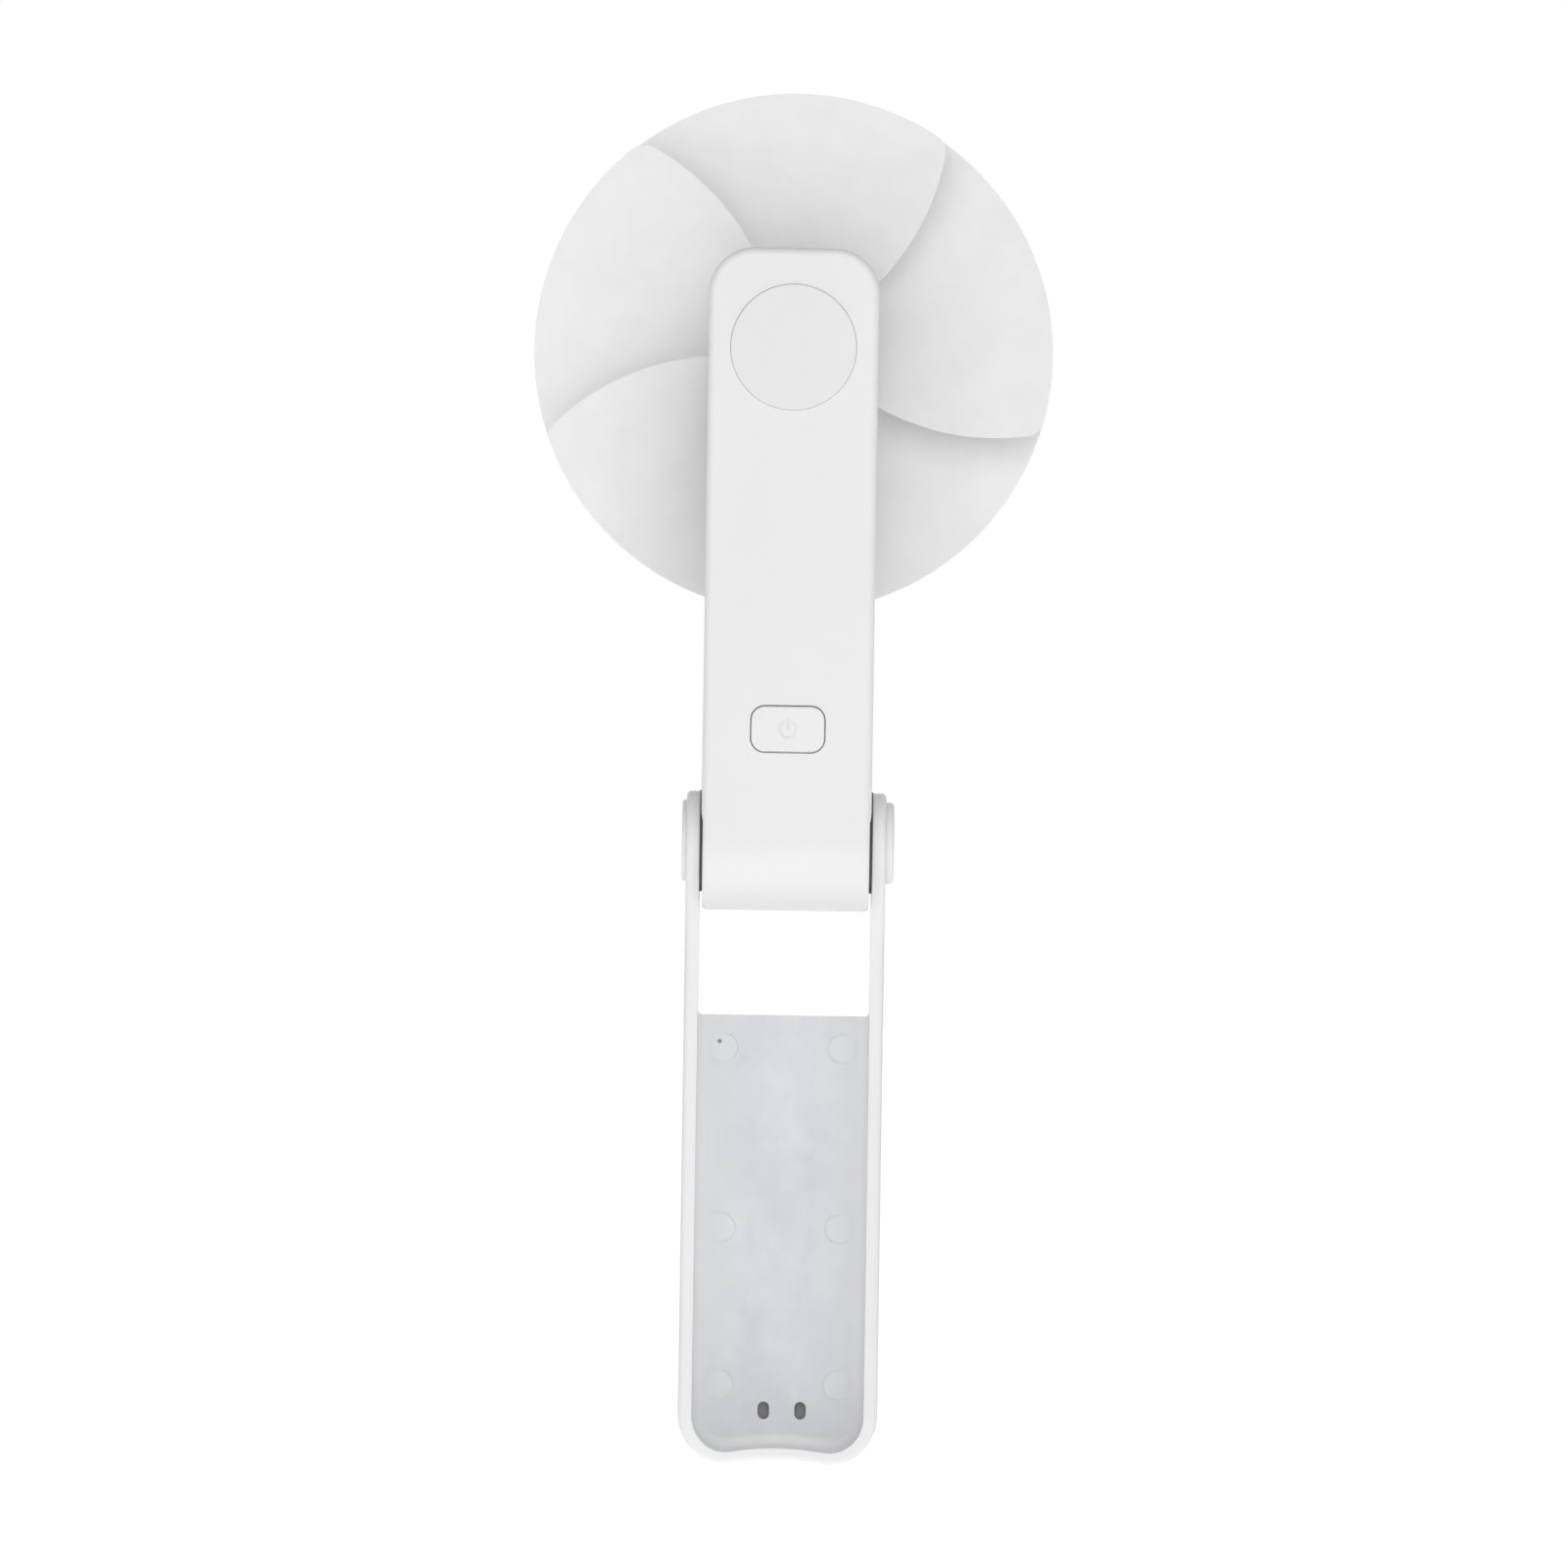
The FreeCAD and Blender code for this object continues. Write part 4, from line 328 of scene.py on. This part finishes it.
def tray_floor_painted_shade(g, base):
    """Paints shade into the floor inside the cover's tray, greyer than its walls and with a cooler tint of
    its own.

    Only faces that look out of the tray take the painted shade, which is painted lighter towards the walls.
    The pin marks are lighter, and the gate mark's bottom is painted dark as shade.
    """
    depth = g.math("SUBTRACT", g.along(Y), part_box("lanyard_insert")[0].y - SKIN)
    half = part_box("flip_cover")[1].x
    # The painted shade is strongest in the middle and painted lighter towards the walls.
    shade_in_middle = g.ramp(g.math("ABSOLUTE", g.along(X)), half * 0.3, half * 0.75, 1, 0.3)
    facing = g.ramp(g.component(g.normal, Y), -0.9, -0.7, 1, 0)
    clouds = g.noise(13, 4, 0.6, g.stretch(1, 1, 0.7))
    patches = g.noise(5, 3, 0.55)
    # Greys of the painted shade, with a cooler tint of the cover's own.
    shade_grey = g.mix(g.ramp(clouds, 0.36, 0.64, 0, 1), (0.655, 0.668, 0.70), (0.725, 0.733, 0.757))
    shade_grey = g.mix(g.ramp(patches, 0.52, 0.72, 0, 0.5), shade_grey, (0.76, 0.767, 0.785))
    # Where the tray's floor takes its painted shade.
    floor = g.product(g.band(depth, *FLOOR_SHADE_DEPTHS), shade_in_middle, facing)
    pins = g.product(g.band(depth, *PIN_MARK_DEPTHS, most=0.6), facing)
    # The bottom of the gate mark is painted dark as shade.
    gate = g.product(g.band(depth, *GATE_SHADE_DEPTHS, most=0.7), facing)
    shaded_floor = g.mix(floor, base, shade_grey)
    shaded_floor = g.mix(pins, shaded_floor, (0.80, 0.806, 0.82))
    return g.mix(gate, shaded_floor, (0.2, 0.2, 0.21))


# Each material slot's maker and what it is given
FINISHES = {
    "shell_white": (moulded, dict(colour=(0.83, 0.83, 0.833), rough=0.4)),
    "cap_white": (moulded, dict(colour=(0.805, 0.805, 0.808), rough=0.4, grain_mm=0.3)),
    "button_white": (moulded, dict(colour=(0.84, 0.84, 0.842), rough=0.38, grain_mm=0.28,
                                   grain_depth_mm=0.004)),
    # The cover's tray floor gets painted shade.
    "cover_white": (moulded, dict(colour=(0.83, 0.832, 0.838), rough=0.42, tint=tray_floor_painted_shade)),
    "hinge_cap_white": (gloss, dict(colour=(0.83, 0.83, 0.833), rough=0.4)),
    "blade_white": (blade_plastic, dict(colour=(0.83, 0.83, 0.832), rough=0.36)),
    "hub_white": (gloss, dict(colour=(0.81, 0.81, 0.813), rough=0.4)),
    "steel": (metal, dict(colour=(0.62, 0.62, 0.64), rough=0.3, stretched=(1, 0.2, 1), line_mm=0.2)),
    "motor_steel": (metal, dict(colour=(0.52, 0.52, 0.54), rough=0.34, stretched=(1, 0.1, 1), line_mm=0.3)),
    "laminations": (laminated, dict()),
    "magnet": (metal, dict(colour=(0.1, 0.1, 0.11), rough=0.5, line_mm=0.4)),
    "copper": (wound, dict()),
    "bearing_bronze": (metal, dict(colour=(0.6, 0.4, 0.18), rough=0.42, line_mm=0.3)),
    "hinge_acetal": (moulded, dict(colour=(0.7, 0.7, 0.68), rough=0.4, grain_mm=0.4, grain_depth_mm=0.004)),
    "insert_grey": (moulded, dict(colour=(0.3, 0.3, 0.305), rough=0.45, grain_mm=0.3)),
    "washer_grey": (moulded, dict(colour=(0.06, 0.06, 0.063), rough=0.5, grain_mm=0.3)),
    "cell_wrap": (wrapped, dict(colour=(0.05, 0.2, 0.42))),
    "nickel": (metal, dict(colour=(0.66, 0.64, 0.6), rough=0.28, stretched=(0.1, 1, 1))),
    "board_green": (solder_mask, dict(colour=(0.02, 0.16, 0.07))),
    "part_black": (moulded, dict(colour=(0.03, 0.03, 0.032), rough=0.45, grain_mm=0.3)),
    "lead_red": (rubbery, dict(colour=(0.55, 0.02, 0.02))),
    "lead_black": (rubbery, dict(colour=(0.02, 0.02, 0.022))),
}
MATERIALS = {slot: make(slot, **given) for slot, (make, given) in FINISHES.items()}


def dress(piece, slot):
    """Gives a CAD node the material of its slot."""
    piece.data.materials.clear()
    piece.data.materials.append(MATERIALS[slot])


for entry in frame["record"]["subparts"]:
    dress(NODES[entry["node"]], entry["material_slot"])


# Stage: pale floor, soft light from all round, and the camera

TENT = 1.37            # strength of the light from before and behind
TENT_SIDES = 0.24      # the same from all round the sides
FRONT_EDGE = 0.9       # where the strong light ends, as the direction's share along Y
SIDE_EDGE = 0.4        # where the weak light starts
TENT_LOW = 0.86        # share of it from below
TENT_HIGH = 1.14       # share of it from above
GLOSS = 1.0            # what gloss shows before and behind the object
FLAG = 0.05            # what gloss shows beside the object
FLAG_EDGE = 0.8        # how far round the flags reach, as the direction's share along Y
FLAG_BLUR = 0.1        # how far their edge fades each way
FLOOR_HALF = 4.0
FLOOR_DROP = 0.0001    # gap between the object's lowest point and the floor
SENSOR_MM = 36
VIEW_WIDTH = 0.2963    # width that the camera sees at the object
DISTANCE = 2.2
ROLL = math.radians(0.87)
AIM = Vector((-0.00056, 0.0, 0.0109))


def pale_floor():
    """A wide floor under the object that glows a little, so that it blends into the white background."""
    z = cad_box[0].z - FLOOR_DROP
    corners = [(x * FLOOR_HALF, y * FLOOR_HALF, z) for x, y in ((-1, -1), (1, -1), (1, 1), (-1, 1))]
    mesh = bpy.data.meshes.new("floor")
    mesh.from_pydata(corners, [], [(0, 1, 2, 3)])
    floor = bpy.data.objects.new("floor", mesh)
    scene.collection.objects.link(floor)
    g = Surface("floor_pale")
    speckle = g.ramp(g.noise(60, 2, 0.5), 0.3, 0.7, 0, 1)
    mesh.materials.append(g.shade(
        Base_Color=g.mix(speckle, (0.72, 0.72, 0.72), (0.74, 0.74, 0.74)), Roughness=0.7,
        Emission_Color=WHITE, Emission_Strength=0.6,
    ))


def soft_box(name, location, target, size, watts):
    """A rectangular lamp that points at a target."""
    light = bpy.data.lights.new(name, "AREA")
    light.shape = "RECTANGLE"
    light.size, light.size_y = size
    light.energy = watts
    lamp = bpy.data.objects.new(name, light)
    lamp.location = location
    lamp.rotation_euler = (Vector(target) - Vector(location)).to_track_quat("-Z", "Y").to_euler()
    scene.collection.objects.link(lamp)


def surround():
    """Light from all round like a studio tent, a white background, and dark flags that only gloss shows."""
    scene.world = bpy.data.worlds.new("surround")
    g = Graph(scene.world)

    def light(strength):
        node = g.node("ShaderNodeBackground")
        g.put(node.inputs["Color"], WHITE)
        g.put(node.inputs["Strength"], strength)
        return node.outputs[0]

    def choose(factor, first, second):
        node = g.node("ShaderNodeMixShader")
        for socket, value in zip(node.inputs, (factor, first, second)):
            g.put(socket, value)
        return node.outputs[0]

    direction = g.node("ShaderNodeTexCoord").outputs["Generated"]
    front = g.math("ABSOLUTE", g.component(direction, Y))
    tent = g.ramp(front, SIDE_EDGE, FRONT_EDGE, TENT_SIDES, TENT, "SMOOTHSTEP")
    height = g.ramp(g.component(direction, Z), -1.0, 1.0, TENT_LOW, TENT_HIGH, "SMOOTHSTEP")
    flags = g.ramp(front, FLAG_EDGE - FLAG_BLUR, FLAG_EDGE + FLAG_BLUR, FLAG, GLOSS, "SMOOTHSTEP")
    path = g.node("ShaderNodeLightPath")
    seen = choose(path.outputs["Is Glossy Ray"], light(g.product(tent, height)), light(flags))
    seen = choose(path.outputs["Is Camera Ray"], seen, light(1.0))
    g.put(g.node("ShaderNodeOutputWorld").inputs["Surface"], seen)


def photo_camera():
    """A long lens straight behind the fan, rolled a little."""
    data = bpy.data.cameras.new("camera")
    data.sensor_width = SENSOR_MM
    data.lens = SENSOR_MM * DISTANCE / VIEW_WIDTH
    data.clip_start, data.clip_end = 0.1, 50
    camera = bpy.data.objects.new("camera", data)
    scene.collection.objects.link(camera)
    back, right, up = Vector((0, -1, 0)), Vector((1, 0, 0)), Vector((0, 0, 1))
    rolled_right = right * math.cos(ROLL) + up * math.sin(ROLL)
    rolled_up = up * math.cos(ROLL) - right * math.sin(ROLL)
    turn = Matrix((rolled_right, rolled_up, back)).transposed().to_4x4()
    camera.matrix_world = Matrix.Translation(AIM + back * DISTANCE) @ turn
    scene.camera = camera


pale_floor()
surround()
soft_box("key", location=(0.5, -1.1, 1.3), target=(0, 0, 0.03), size=(0.7, 0.7), watts=1.6)
photo_camera()
scene.view_settings.view_transform = "Standard"
